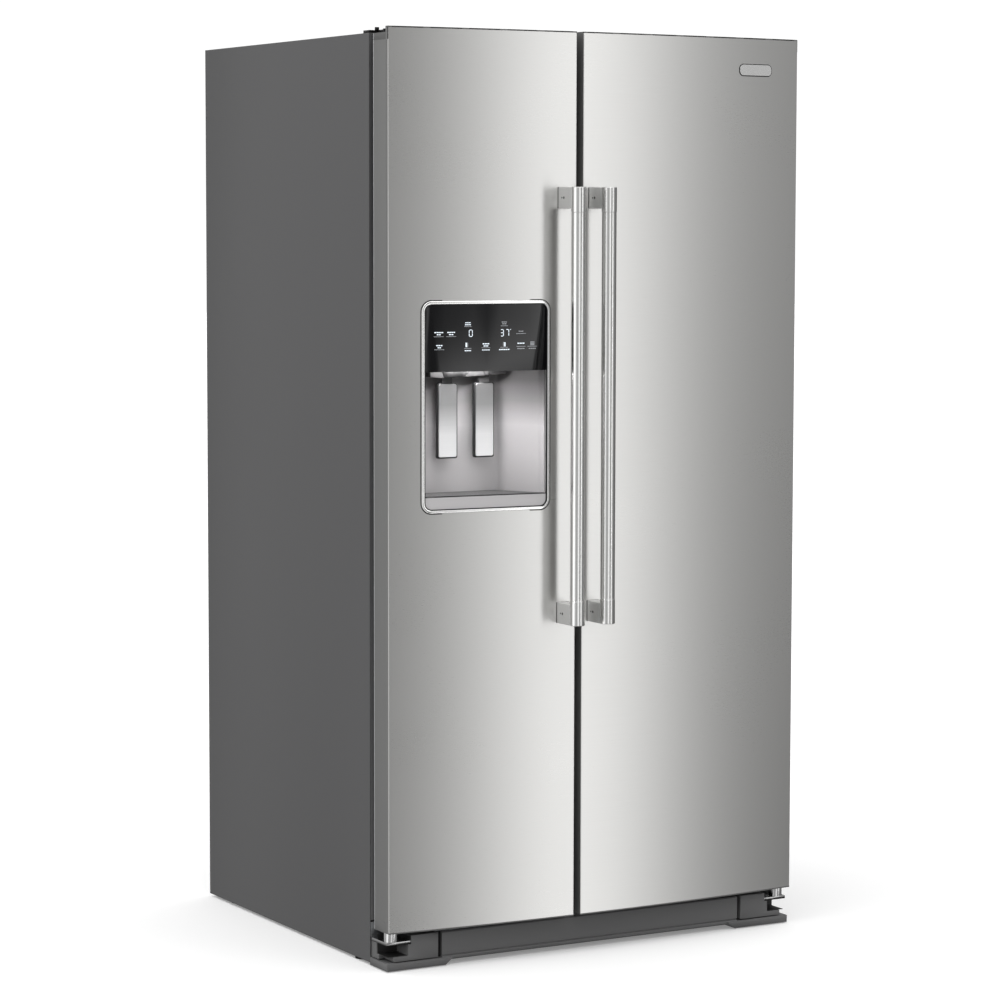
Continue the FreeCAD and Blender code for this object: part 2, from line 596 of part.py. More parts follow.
def dispenser_housing():
    """The moulded recess: walls that narrow to the rear, and the two pivot pins."""
    block = dispenser_outline("housing_block", "0", "ahead", "recess_back + recess_wall")
    shell = common("housing_shell", block, bow("housing_bow", "-bezel_depth", "bezel_z0 - 1",
                                               "bezel_z1 + 1"))
    corners = [("opening_x0", "ahead"), ("opening_x1", "ahead"), ("opening_x1", "face"),
               ("bezel_mid + recess_back_width / 2", "recess_back"),
               ("bezel_mid - recess_back_width / 2", "recess_back"), ("opening_x0", "face")]
    cavity = extrusion("housing_cavity", "XY_Plane", corners, "opening_z0",
                       "opening_z1 - recess_wall - (opening_z0)")
    hollow = cut("housing_hollow", shell, cavity, chute_tool("housing_chute"))
    pivot = rod("housing_pivot", "x", "opening_x0 + recess_wall", "paddle_y", "pivot_z", "pivot_radius",
                "opening_x1 - (opening_x0) - 2 * recess_wall")
    flap_pin = rod("housing_flap_pin", "x", "bezel_mid - recess_back_width / 2 - recess_wall", "flap_pin_y",
                   "flap_pin_z", "flap_pin", "recess_back_width + 2 * recess_wall")
    trim = extrusion("housing_trim", "XY_Plane",
                     [("opening_x0 - recess_wall", "ahead"), ("opening_x1 + recess_wall", "ahead"),
                      ("opening_x1 + recess_wall", "face"),
                      ("bezel_mid + recess_back_width / 2 + recess_wall", "recess_back + recess_wall"),
                      ("bezel_mid - recess_back_width / 2 - recess_wall", "recess_back + recess_wall"),
                      ("opening_x0 - recess_wall", "face")], "opening_z0", "bezel_height")
    pins = common("housing_pins", fuse("housing_pins_long", pivot, flap_pin), trim)
    node("dispenser_housing", fuse("dispenser_housing", hollow, pins))


def paddle(name, centre):
    """A hanging pad with a narrow stem up to a barrel that turns on the housing's pin."""
    low = "bezel_z0 + paddle_low"
    plate = rounded_block(name + "_plate", f"{centre} - paddle_width / 2", f"{centre} + paddle_width / 2",
                          low, f"{low} + paddle_height", "paddle_corner", "paddle_y - paddle_thick / 2",
                          "paddle_y + paddle_thick / 2")
    stem = box(name + "_stem", f"{centre} - paddle_stem / 2", f"{centre} + paddle_stem / 2",
               "paddle_y - paddle_thick / 2", "paddle_y + paddle_thick / 2",
               f"{low} + paddle_height - paddle_corner", "pivot_z")
    barrel = rod(name + "_barrel", "x", f"{centre} - paddle_stem / 2", "paddle_y", "pivot_z",
                 "barrel_radius", "paddle_stem")
    bore = rod(name + "_bore", "x", f"{centre} - paddle_stem", "paddle_y", "pivot_z",
               "pivot_radius + pin_fit", "2 * paddle_stem")
    node(name, cut(name, fuse(name + "_whole", plate, stem, barrel), bore))


def chute_flap():
    """A level plate that closes the ice passage and swings down about its rear edge."""
    half = "chute_width / 2 + flap_margin"
    top = "flap_pin_z + flap_barrel"
    plate = box("flap_plate", f"bezel_mid - ({half})", f"bezel_mid + ({half})",
                "chute_y0 - flap_margin", "flap_pin_y", f"{top} - flap_thick", top)
    barrel = rod("flap_barrel_tube", "x", f"bezel_mid - ({half})", "flap_pin_y", "flap_pin_z",
                 "flap_barrel", f"2 * ({half})")
    bore = rod("flap_bore", "x", f"bezel_mid - ({half}) - 1", "flap_pin_y", "flap_pin_z",
               "flap_pin + pin_fit", f"2 * ({half}) + 2")
    node("chute_flap", cut("chute_flap", fuse("flap_whole", plate, barrel), bore))


def tray():
    """The drip tray fills the recess floor; the slotted grille lies in it."""
    outline = [("opening_x0 + clearance", "face"),
               ("bezel_mid - recess_back_width / 2 + clearance", "recess_back - clearance"),
               ("bezel_mid + recess_back_width / 2 - clearance", "recess_back - clearance"),
               ("opening_x1 - clearance", "face"), ("opening_x1 - clearance", "ahead"),
               ("opening_x0 + clearance", "ahead")]
    block = extrusion("tray_block", "XY_Plane", outline, "opening_z0 + clearance",
                      "tray_height - clearance")
    corners = rounded_block("tray_corners", "opening_x0 + clearance", "opening_x1 - clearance",
                            "opening_z0 + clearance", "opening_z1", "bezel_corner - bezel_rim", "ahead",
                            "door_back + recess_depth")
    bowed = common("tray_bowed", common("tray_rounded", block, corners),
                   bow("tray_bow", "0", "opening_z0 - 1", "tray_z1 + 1"))
    well = box("tray_well", "bezel_mid - recess_back_width / 2 + tray_lip",
               "bezel_mid + recess_back_width / 2 - tray_lip", "face - door_bulge / 2 + tray_lip",
               "recess_back - tray_lip", "opening_z0 + tray_lip", "tray_z1 + 1")
    node("dispenser_tray", cut("dispenser_tray", bowed, well))
    plate = box("grille_blank", "bezel_mid - recess_back_width / 2 + tray_lip + clearance",
                "bezel_mid + recess_back_width / 2 - tray_lip - clearance",
                "face - door_bulge / 2 + tray_lip + clearance", "recess_back - tray_lip - clearance",
                "opening_z0 + tray_lip", "tray_z1 - clearance")
    under = box("grille_under", "bezel_mid - recess_back_width / 2 + 2 * tray_lip",
                "bezel_mid + recess_back_width / 2 - 2 * tray_lip",
                "face - door_bulge / 2 + 2 * tray_lip", "recess_back - 2 * tray_lip", "opening_z0",
                "tray_z1 - grille_plate")
    slots = [box(f"grille_slot_{index}", f"bezel_mid - recess_back_width / 2 + 3 * tray_lip"
                 f" + {index} * grille_step",
                 f"bezel_mid - recess_back_width / 2 + 3 * tray_lip + {index} * grille_step + grille_slot",
                 "face", "recess_back - 3 * tray_lip", "opening_z0", "tray_z1 + 1")
             for index in range(GRILLE_SLOTS)]
    node("tray_grille", cut("tray_grille", plate, under, *slots))


def ice_bin():
    """An open bin behind the freezer door, with a floor opening over the ice passage."""
    side = DOORS["freezer"]
    low = "ice_bin_low + door_lift"
    whole = tub("ice_bin_tub", side["bin_x0"], side["bin_x1"], "door_back", "door_back + bin_depth",
                low, f"{low} + ice_bin_height", "ice_bin_wall")
    mouth = box("ice_bin_mouth", "bezel_mid - chute_width / 2", "bezel_mid + chute_width / 2",
                "door_back + ice_bin_wall", "chute_y1", f"{low} - 1", f"{low} + ice_bin_wall + 1")
    axis_x, axis_y = "bezel_mid", "door_back + bin_depth / 2 - flap_margin"
    stub = rod("ice_bin_stub", "z", f"{axis_x} - chute_width", axis_y, low, "auger_shaft / 2",
               "ice_bin_wall + 4 * auger_blade")
    node("ice_bin", fuse("ice_bin", cut("ice_bin_open", whole, mouth), stub))
    shaft_low = f"{low} + ice_bin_wall + clearance"
    auger_x = f"{axis_x} - chute_width"
    shaft = rod("auger_shaft_rod", "z", auger_x, axis_y, shaft_low, "auger_shaft", "auger_height")
    blades = []
    for index in range(AUGER_BLADES):
        blade_low = f"{shaft_low} + {index} * auger_height / {AUGER_BLADES}"
        blades.append(box(f"auger_blade_{index}", f"{auger_x} - auger_reach", f"{auger_x} + auger_reach",
                          f"{axis_y} - auger_blade / 2", f"{axis_y} + auger_blade / 2", blade_low,
                          f"{blade_low} + auger_blade"))
        blades.append(box(f"auger_cross_{index}", f"{auger_x} - auger_blade / 2",
                          f"{auger_x} + auger_blade / 2", f"{axis_y} - auger_reach",
                          f"{axis_y} + auger_reach", f"{blade_low} + 2 * auger_blade",
                          f"{blade_low} + 3 * auger_blade"))
    bore = rod("auger_bore", "z", auger_x, axis_y, f"{shaft_low} - 1",
               "auger_shaft / 2 + auger_bore_fit", "4 * auger_blade + 1")
    node("ice_auger", cut("ice_auger", fuse("auger_whole", shaft, *blades), bore))


# ---------------------------------------------------------------- cabinet
def cavity(name, x0, x1, grow, front):
    """An L-shaped compartment that steps over the machine compartment, grown by a wall."""
    low = box(name + "_low", f"{x0} - ({grow})", f"{x1} + ({grow})", front, f"step_y + ({grow})",
              f"cavity_z0 - ({grow})", f"cavity_z1 + ({grow})")
    high = box(name + "_high", f"{x0} - ({grow})", f"{x1} + ({grow})", front,
               f"cavity_back + ({grow})", f"step_z - ({grow})", f"cavity_z1 + ({grow})")
    return fuse(name, low, high)


def cabinet_shell():
    """The painted wrapper with its front flange, cut away over both compartments."""
    outer = box("shell_outer", "-case_half", "case_half", "case_front", "case_back", "side_lift",
                "case_top")
    inner = box("shell_inner", "-case_half + sheet", "case_half - sheet", "case_front + sheet",
                "case_back + 1", "side_lift - 1", "case_top - sheet")
    base_gap = box("shell_base_gap", "-case_half + sheet", "case_half - sheet", "case_front - 1",
                   "case_front + 2", "side_lift - 1", "base_height")
    node("cabinet_shell", cut("cabinet_shell", outer, inner, base_gap,
                              cavity("shell_cold", "cold_x0", "cold_x1", "0", "case_front - 1"),
                              cavity("shell_cool", "cool_x0", "cool_x1", "0", "case_front - 1")))


def insulation():
    block = box("foam_block", "-case_half + sheet", "case_half - sheet", "case_front + sheet",
                "case_back - sheet", "base_height", "case_top - sheet")
    machine = box("foam_machine", "-case_half", "case_half", "machine_y", "case_back + 1", "0",
                  "machine_height")
    node("insulation", cut("insulation", block, machine,
                           cavity("foam_cold", "cold_x0", "cold_x1", "liner_wall", "case_front"),
                           cavity("foam_cool", "cool_x0", "cool_x1", "liner_wall", "case_front")))


def liner(name, x0, x1):
    outer = cavity(name + "_outside", x0, x1, "liner_wall", "case_front + sheet")
    inner = cavity(name + "_inside", x0, x1, "0", "case_front - 1")
    node(name, cut(name, outer, inner))


def rear_panel():
    node("rear_panel", box("rear_panel", "-case_half + sheet", "case_half - sheet",
                           "case_back - sheet", "case_back", "machine_height", "case_top - sheet"))


AXLES = {"front": ("case_front + front_roller_y", "roller_radius + front_roller_lift"),
         "rear": ("case_back - rear_roller_y", "roller_radius")}


def base_frame():
    """Two inverted channel rails, a front bar, the machine pan and the roller axles."""
    parts = []
    for tag, sign in SIDES:
        edges = span(sign, "rail_x0", "rail_x1")
        rail = box("rail" + tag, *edges, "case_front + sheet + clearance",
                   "case_back - cover_plate - clearance", "rail_low", "base_z1")
        channel = box("rail_channel" + tag, f"{edges[0]} + rail_wall", f"{edges[1]} - rail_wall",
                      "case_front + foot_radius", "case_back - roller_radius", "0", "base_z1 - rail_wall")
        leg_hole = rod("leg_hole" + tag, "z", f"{sign} * roller_mid", "case_front + leg_y", "0",
                       "leg_radius + leg_fit", "base_height")
        parts.append(cut("rail_open" + tag, rail, channel, leg_hole))
        for end, (y, z) in AXLES.items():
            parts.append(rod("axle" + tag + "_" + end, "x", f"{edges[0]} + rail_wall / 2", y, z,
                             "axle_radius", "rail_width - rail_wall"))
    parts.append(box("front_bar", "-rail_x0 - 1", "rail_x0 + 1", "case_front + sheet + clearance",
                     "case_front + sheet + clearance + rail_wall", "rail_low", "base_z1"))
    parts.append(box("machine_pan", "-rail_x0 - 1", "rail_x0 + 1", "machine_y + clearance",
                     "case_back - cover_plate - clearance", "rail_low", "rail_low + pan_sheet"))
    node("base_frame", fuse("base_frame", *parts))


def rollers(end):
    """The left and right wheel on one axle line."""
    name = end + "_rollers"
    y, z = AXLES[end]
    parts = []
    for tag, sign in SIDES:
        middle = f"{sign} * roller_mid"
        wheel = rod(name + tag + "_wheel", "x", f"{middle} - roller_width / 2", y, z, "roller_radius",
                    "roller_width")
        bore = rod(name + tag + "_bore", "x", f"{middle} - roller_width", y, z,
                   "axle_radius + axle_fit", "2 * roller_width")
        parts.append(cut(name + tag, wheel, bore))
    node(name, fuse(name, *parts))


def leveling_leg(tag, sign):
    name = "leveling_leg" + tag
    x, y = f"{sign} * roller_mid", "case_front + leg_y"
    stud = rod(name + "_stud", "z", x, y, "0", "leg_radius", "leg_height")
    foot = rod(name + "_foot", "z", x, y, "0", "foot_radius", "foot_height")
    node(name, fuse(name, stud, foot))


def machine_cover():
    """The louvred rear cover, with a collar for the mains lead and a gap for the valve port."""
    plate = box("cover_blank", "-case_half + sheet", "case_half - sheet", "case_back - cover_plate",
                "case_back", "rail_low", "machine_height")
    slots = [box(f"louvre{tag}_{row}", f"{sign} * louvre_x - louvre_width / 2",
                 f"{sign} * louvre_x + louvre_width / 2", "case_back - 2 * cover_plate", "case_back + 1",
                 f"louvre_low + {row} * louvre_step", f"louvre_low + {row} * louvre_step + louvre_height")
             for tag, sign in SIDES for row in range(LOUVRE_ROWS)]
    port = rod("cover_port", "y", "valve_x", "case_back - 2 * cover_plate", "valve_z",
               "2 * port_radius", "4 * cover_plate")
    collar = rod("cover_collar", "y", "gland_x", "case_back - gland_depth", "gland_z", "gland_radius",
                 "gland_depth")
    bore = rod("cover_gland", "y", "gland_x", "case_back - gland_depth - 1", "gland_z", "gland_bore",
               "gland_depth + 2")
    node("machine_cover", cut("machine_cover", fuse("cover_collared", plate, collar), port, bore, *slots))


def compressor():
    y = "case_back - compressor_radius - 2 * louvre_step"
    z = "rail_low + pan_sheet"
    can = rod("compressor_can", "z", "compressor_x", y, z, "compressor_radius",
              "compressor_height - dome_height")
    dome = rod("compressor_dome", "z", "compressor_x", y, f"{z} + compressor_height - dome_height",
               "dome_radius", "dome_height")
    neck = rod("compressor_neck", "z", "compressor_x", y, f"{z} + compressor_height", "neck_radius",
               "neck_height")
    node("compressor", fuse("compressor", can, dome, neck))


def condenser():
    """A finned coil block with the fan's ring and motor in front of it."""
    x0, x1 = "condenser_x - condenser_width / 2", "condenser_x + condenser_width / 2"
    z0 = "rail_low + pan_sheet + drip_height"
    y1 = "case_back - louvre_margin"
    mid_z = f"{z0} + condenser_height / 2"
    block = box("coil_block", x0, x1, f"{y1} - condenser_depth", y1, z0, f"{z0} + condenser_height")
    ring_y = f"{y1} - condenser_depth - shroud_depth"
    shroud = box("shroud_block", "condenser_x - condenser_height / 2",
                 "condenser_x + condenser_height / 2", ring_y, f"{y1} - condenser_depth", z0,
                 f"{z0} + condenser_height")
    throat = rod("shroud_throat", "y", "condenser_x", f"{ring_y} - 1", mid_z, "fan_radius + fan_gap",
                 "shroud_depth + 1")
    motor_y = f"{ring_y} - motor_depth - fan_gap"
    arm = box("motor_arm", "condenser_x - condenser_height / 2", "condenser_x + condenser_height / 2",
              f"{motor_y}", f"{motor_y} + shroud_wall", f"{mid_z} - motor_radius / 2",
              f"{mid_z} + motor_radius / 2")
    legs = [box(f"motor_leg_{index}", edge0, edge1, motor_y, f"{ring_y} + 1", f"{mid_z} - motor_radius / 2",
                f"{mid_z} + motor_radius / 2")
            for index, (edge0, edge1) in enumerate((
                ("condenser_x - condenser_height / 2",
                 "condenser_x - condenser_height / 2 + shroud_wall"),
                ("condenser_x + condenser_height / 2 - shroud_wall",
                 "condenser_x + condenser_height / 2")))]
    motor = rod("motor_can", "y", "condenser_x", motor_y, mid_z, "motor_radius", "motor_depth")
    shaft = rod("motor_shaft", "y", "condenser_x", motor_y, mid_z, "shaft_radius",
                "motor_depth + 2 * fan_gap + fan_depth")
    node("condenser", fuse("condenser", block, cut("shroud_open", shroud, throat), arm, *legs, motor,
                           shaft))
    node("condenser_fan", fan("condenser_fan", "condenser_x", f"{ring_y} + fan_gap", mid_z))


def drain_pan():
    """The pan for defrost water stands on the machine pan beside the compressor."""
    x1 = "compressor_x - compressor_radius - louvre_step"
    y1 = "case_back - louvre_margin"
    z0 = "rail_low + pan_sheet"
    node("drain_pan", tub("drain_pan", f"{x1} - drip_width", x1, f"{y1} - drip_depth", y1, z0,
                          f"{z0} + drip_height", "drip_wall"))


def water_valve():
    block = box("valve_block", "valve_x - valve_width / 2", "valve_x + valve_width / 2",
                "case_back - 2 * cover_plate - valve_depth", "case_back - 2 * cover_plate",
                "valve_z - valve_height / 2", "valve_z + valve_height / 2")
    port = rod("valve_port", "y", "valve_x", "case_back - 2 * cover_plate - 1", "valve_z", "port_radius",
               "2 * cover_plate + 1")
    coil = rod("valve_coil", "y", "valve_x", "case_back - 2 * cover_plate - 2 * valve_depth", "valve_z",
               "valve_width / 3", "valve_depth + 1")
    bracket = box("valve_bracket", "valve_x - valve_width / 4", "valve_x + valve_width / 4",
                  "case_back - 2 * cover_plate - valve_depth", "case_back - 2 * cover_plate",
                  "valve_z + valve_height / 2 - 1", "machine_height - clearance")
    node("water_valve", fuse("water_valve", block, port, coil, bracket))


# ---------------------------------------------------------------- hinges, covers and base grille
def door_hinges():
    """Top brackets with a round nose and a pin down into each door, and bottom ones with a pin up.

    The top arm runs in from the pin, so that the open door's corner swings past it."""
    parts = []
    for tag, sign in SIDES:
        inner = "case_half - sheet - hinge_width"
        x0, x1 = span(sign, inner, "case_half - sheet")
        pin = f"{sign} * pin_x"
        parts.append(box("top_foot" + tag, x0, x1, "case_front", "case_front + hinge_rear", "case_top",
                         "case_top + hinge_plate"))
        parts.append(box("top_arm" + tag, *span(sign, inner, "pin_x"), "pin_y - foot_sleeve",
                         "case_front + 1", "case_top", "case_top + hinge_plate"))
        parts.append(rod("top_nose" + tag, "z", pin, "pin_y", "case_top", "foot_sleeve",
                         "hinge_plate"))
        parts.append(rod("top_pin" + tag, "z", pin, "pin_y", "top_pin_z0", "pin_radius",
                         "pin_engage + hinge_plate"))
        low = "door_lift - foot_hinge_drop"
        parts.append(box("foot_plate" + tag, x0, x1, "pin_y - foot_sleeve",
                         "case_front + sheet + clearance", low, f"{low} + foot_hinge_plate"))
        parts.append(rod("foot_pin" + tag, "z", pin, "pin_y", low, "pin_radius",
                         "foot_hinge_drop + pin_engage"))
        parts.append(rod("foot_sleeve" + tag, "z", pin, "pin_y", low, "foot_sleeve",
                         "foot_hinge_drop - hinge_air / 2"))
    node("door_hinges", fuse("door_hinges", *parts))


def hinge_screws():
    """Two screws through each top bracket into the cabinet."""
    parts = []
    for tag, sign in SIDES:
        for row in range(BRACKET_SCREWS):
            name = f"screw{tag}_{row}"
            x = f"{sign} * (case_half - hinge_width / 2)"
            y = f"case_front + hinge_rear - 2 * screw_radius - {row} * screw_pitch"
            if row:
                x = f"{sign} * (case_half - hinge_width / 2 + screw_pitch / 2)"
            parts.append(rod(name, "z", x, y, "case_top + hinge_plate", "screw_radius", "screw_head"))
    node("hinge_screws", fuse("hinge_screws", *parts))


def base_grille():
    """The centre panel with its long groove, and a foot under each corner block."""
    x0 = "-half_width + grille_end_width + grille_gap"
    x1 = "half_width - grille_end_width - grille_gap"
    front, back = "face + grille_front", "face + grille_front + grille_thick"
    top = "door_lift - grille_top_gap"
    profile = [(f"{front} + grille_groove_depth", "grille_skirt_low"), (back, "grille_skirt_low"),
               (back, top), (f"{front} + grille_groove_depth", top), (front, f"{top} - grille_groove_depth"),
               (front, "grille_groove_low + grille_groove_height"),
               (f"{front} + grille_groove_depth", "grille_groove_low + grille_groove_height"),
               (f"{front} + grille_groove_depth", "grille_groove_low"), (front, "grille_groove_low"),
               (front, "grille_skirt_low + grille_groove_height")]
    panel = extrusion("grille_panel", "YZ_Plane", profile, x0, f"({x1}) - ({x0})")
    feet = []
    for tag, sign in SIDES:
        inner = "half_width - grille_end_width - grille_gap - grille_foot_width"
        corners = [(f"{sign} * half_width", "end_floor_gap"),
                   (f"{sign} * ({inner} + grille_chamfer)", "end_floor_gap"),
                   (f"{sign} * ({inner})", "grille_groove_low - end_seam"),
                   (f"{sign} * half_width", "grille_groove_low - end_seam")]
        feet.append(extrusion("grille_foot" + tag, "XZ_Plane", corners, f"{front} - end_set_back",
                              f"case_front - clearance - ({front} - end_set_back)"))
    node("base_grille", fuse("base_grille", panel, *feet))


def grille_ends():
    """Corner blocks on the grille's feet, notched round each lower hinge pin."""
    parts = []
    top = "door_lift - grille_top_gap"
    front = "face + grille_front"
    for tag, sign in SIDES:
        outer = "half_width - end_set_back"
        block = box("end_block" + tag, *span(sign, "half_width - grille_end_width", outer), front,
                    "case_front - clearance", "grille_groove_low", top)
        notch = box("end_notch" + tag, *span(sign, "half_width - end_notch_width", "half_width + 1"),
                    "face", f"{front} + end_notch_depth", f"{top} - end_notch_drop", f"{top} + 1")
        corner = box("end_corner" + tag, *span(sign, "half_width - end_corner", "half_width + 1"),
                     "face", f"{front} + end_notch_depth - grille_thick", "0", f"{top} + 1")
        slot = box("end_slot" + tag,
                   *span(sign, "case_half - sheet - hinge_width - clearance", "half_width + 1"),
                   "face", "case_front + 1", "door_lift - foot_hinge_drop - clearance", f"{top} + 1")
        parts.append(cut("end" + tag, block, notch, corner, slot))
    node("grille_ends", fuse("grille_ends", *parts))


# ---------------------------------------------------------------- freezer fittings
def evaporator():
    z0 = "evaporator_low"
    y1 = "cavity_back - evaporator_gap"
    node("evaporator", box("evaporator", "cold_x0 + coil_margin", "cold_x1 - coil_margin",
                           f"{y1} - evaporator_depth", y1, z0, f"{z0} + evaporator_height"))


def evaporator_cover():
    """The duct panel in front of the coil, with the fan's throat, motor and inlet slots."""
    mid_x = "(cold_x0 + cold_x1) / 2"
    plate = box("duct_plate", "cold_x0 + clearance", "cold_x1 - clearance", "duct_y", "duct_y + duct_wall",
                "step_z + coil_margin", "cavity_z1 - duct_top")
    roof = box("duct_roof", "cold_x0 + clearance", "cold_x1 - clearance", "duct_y",
               "cavity_back - clearance", "cavity_z1 - duct_top - duct_wall", "cavity_z1 - duct_top")
    throat = rod("duct_throat", "y", mid_x, "duct_y - 1", "duct_fan_z", "fan_radius + fan_gap",
                 "duct_wall + 2")
    slots = [box(f"duct_slot_{row}", f"{mid_x} - 2 * coil_margin", f"{mid_x} + 2 * coil_margin",
                 "duct_y - 1", "duct_y + duct_wall + 1",
                 f"step_z + 3 * coil_margin + {row} * louvre_step",
                 f"step_z + 3 * coil_margin + {row} * louvre_step + louvre_height")
             for row in range(DUCT_SLOTS)]
    motor_y = "duct_y + duct_wall + fan_depth + 3 * fan_gap"
    bar = box("duct_bar", f"{mid_x} - fan_radius - 2 * fan_gap", f"{mid_x} + fan_radius + 2 * fan_gap",
              motor_y, f"{motor_y} + duct_wall", "duct_fan_z - motor_radius / 2",
              "duct_fan_z + motor_radius / 2")
    legs = [box(f"duct_leg_{index}", f"{mid_x} + {index} * (fan_radius + 1.5 * fan_gap) - fan_gap / 2",
                f"{mid_x} + {index} * (fan_radius + 1.5 * fan_gap) + fan_gap / 2", "duct_y + duct_wall",
                f"{motor_y} + 1", "duct_fan_z - motor_radius / 2", "duct_fan_z + motor_radius / 2")
            for index in (-1, 1)]
    motor = rod("duct_motor", "y", mid_x, motor_y, "duct_fan_z", "motor_radius", "motor_depth")
    shaft = rod("duct_shaft", "y", mid_x, "duct_y + fan_gap", "duct_fan_z", "shaft_radius",
                "duct_wall + fan_depth + 3 * fan_gap")
    node("evaporator_cover", fuse("evaporator_cover", cut("duct_open", fuse("duct_shell", plate, roof),
                                                          throat, *slots), bar, *legs, motor, shaft))
    node("evaporator_fan", fan("evaporator_fan", mid_x, "duct_y + duct_wall + fan_gap", "duct_fan_z"))


def freezer_shelves():
    """Wire shelves: a frame with cross wires."""
    shelves = []
    x0, x1 = "cold_x0 + shelf_air", "cold_x1 - shelf_air"
    y0, y1 = "case_front + shelf_front", "duct_y - shelf_air"
    for index in range(FREEZER_SHELVES):
        z0 = f"freezer_shelf_low + {index} * freezer_shelf_step"
        z1 = f"{z0} + shelf_thick"
        outer = box(f"wire_frame_{index}", x0, x1, y0, y1, z0, z1)
        inner = box(f"wire_room_{index}", f"{x0} + shelf_thick", f"{x1} - shelf_thick",
                    f"{y0} + shelf_thick", f"{y1} - shelf_thick", f"{z0} - 1", f"{z1} + 1")
        places = [f"{x0} + {row + 1} * ({x1} - ({x0})) / {SHELF_WIRES + 1}" for row in range(SHELF_WIRES)]
        wires = [box(f"wire_{index}_{row}", f"{x} - wire / 2", f"{x} + wire / 2", f"{y0} + 1", f"{y1} - 1",
                     f"{z1} - wire", z1)
                 for row, x in enumerate(places)]
        shelves.append(fuse(f"wire_shelf_{index}", cut(f"wire_ring_{index}", outer, inner), *wires))
    node("freezer_shelves", fuse("freezer_shelves", *shelves))


def ice_maker():
    z1 = "cavity_z1 - ice_maker_drop"
    x0, x1 = "cold_x0 + ice_maker_side", "cold_x1 - ice_maker_side"
    y0 = "case_front + shelf_front"
    body = box("maker_body", x0, x1, y0, f"{y0} + ice_maker_depth", f"{z1} - ice_maker_height", z1)
    mould = box("maker_mould", f"{x0} + 2 * shelf_thick", f"{x1} - 2 * shelf_thick",
                f"{y0} + 2 * shelf_thick", f"{y0} + ice_maker_depth - 2 * shelf_thick",
                f"{z1} - ice_maker_height / 2", f"{z1} + 1")
    hanger = box("maker_hanger", f"{x0} + shelf_thick", f"{x1} - shelf_thick",
                 f"{y0} + ice_maker_depth - shelf_thick", f"{y0} + ice_maker_depth", f"{z1} - 1",
                 "cavity_z1")
    node("ice_maker", fuse("ice_maker", cut("maker_open", body, mould), hanger))


def freezer_basket():
    x0, x1 = "cold_x0 + basket_side", "cold_x1 - basket_side"
    y0 = "case_front + basket_front"
    z0 = "cavity_z0 + basket_low"
    node("freezer_basket", tub("freezer_basket", x0, x1, y0, "step_y - basket_air", z0,
                               f"{z0} + basket_height", "basket_wall"))


# ---------------------------------------------------------------- fridge fittings
def fridge_shelves():
    panes = []
    frames = []
    x0, x1 = "cool_x0 + shelf_air", "cool_x1 - shelf_air"
    y0 = "case_front + shelf_front"
    y1 = f"{y0} + fridge_shelf_depth"
    for index in range(FRIDGE_SHELVES):
        z0 = f"fridge_shelf_low + {index} * fridge_shelf_step"
        z1 = f"{z0} + frame_height"
        outer = box(f"shelf_rim_{index}", x0, x1, y0, "cavity_back - clearance", z0, z1)
        inner = box(f"shelf_room_{index}", f"{x0} + frame_width", f"{x1} - frame_width",
                    f"{y0} + frame_width", f"{y1}", f"{z0} - 1", f"{z1} + 1")
        pane_seat = box(f"shelf_seat_{index}", f"{x0} + frame_width / 2", f"{x1} - frame_width / 2",
                        f"{y0} + frame_width / 2", f"{y1} + frame_width / 2", f"{z1} - pane_thick",
                        f"{z1} + 1")
        frames.append(cut(f"shelf_frame_{index}", outer, inner, pane_seat))
        panes.append(box(f"shelf_pane_{index}", f"{x0} + frame_width / 2 + clearance",
                         f"{x1} - frame_width / 2 - clearance", f"{y0} + frame_width / 2 + clearance",
                         f"{y1} + frame_width / 2 - clearance", f"{z1} - pane_thick", z1))
    node("fridge_shelf_frames", fuse("fridge_shelf_frames", *frames))
    node("fridge_shelf_panes", fuse("fridge_shelf_panes", *panes))


def crisper(name, level, back):
    """A clear drawer with a lip along its front to pull by."""
    x0, x1 = "cool_x0 + crisper_side", "cool_x1 - crisper_side"
    y0 = "case_front + crisper_front"
    z0 = f"cavity_z0 + crisper_low + {level} * crisper_step"
    z1 = f"{z0} + crisper_height"
    whole = tub(name + "_tub", x0, x1, f"{y0} + crisper_grip", back, z0, z1, "crisper_wall")
    lip = box(name + "_lip", x0, x1, y0, f"{y0} + crisper_grip + 1", f"{z1} - crisper_grip", z1)
    under = box(name + "_under", f"{x0} - 1", f"{x1} + 1", f"{y0} + crisper_wall", f"{y0} + crisper_grip",
                f"{z1} - crisper_grip - 1", f"{z1} - crisper_wall")
    node(name, fuse(name, whole, cut(name + "_grip", lip, under)))


def crisper_cover():
    """The glass lid over the upper drawer, on a rim carried by the side walls."""
    z0 = "cavity_z0 + crisper_low + crisper_step + crisper_height + crisper_lid_gap"
    node("crisper_cover", box("crisper_cover", "cool_x0 + shelf_air", "cool_x1 - shelf_air",
                              "case_front + crisper_front", "cavity_back - clearance", z0,
                              f"{z0} + frame_height"))


def control_box():
    """The light and temperature housing under the fridge roof."""
    y0 = "case_front + shelf_front"
    node("control_box", box("control_box", "cool_x0 + ice_maker_side", "cool_x1 - ice_maker_side", y0,
                            f"{y0} + control_depth", "cavity_z1 - control_height", "cavity_z1"))


def water_filter():
    node("water_filter", rod("water_filter", "y", "cool_x1 - filter_side",
                             "case_front + shelf_front - filter_length / 4",
                             "cavity_z1 - control_height - filter_radius - clearance", "filter_radius",
                             "filter_length"))


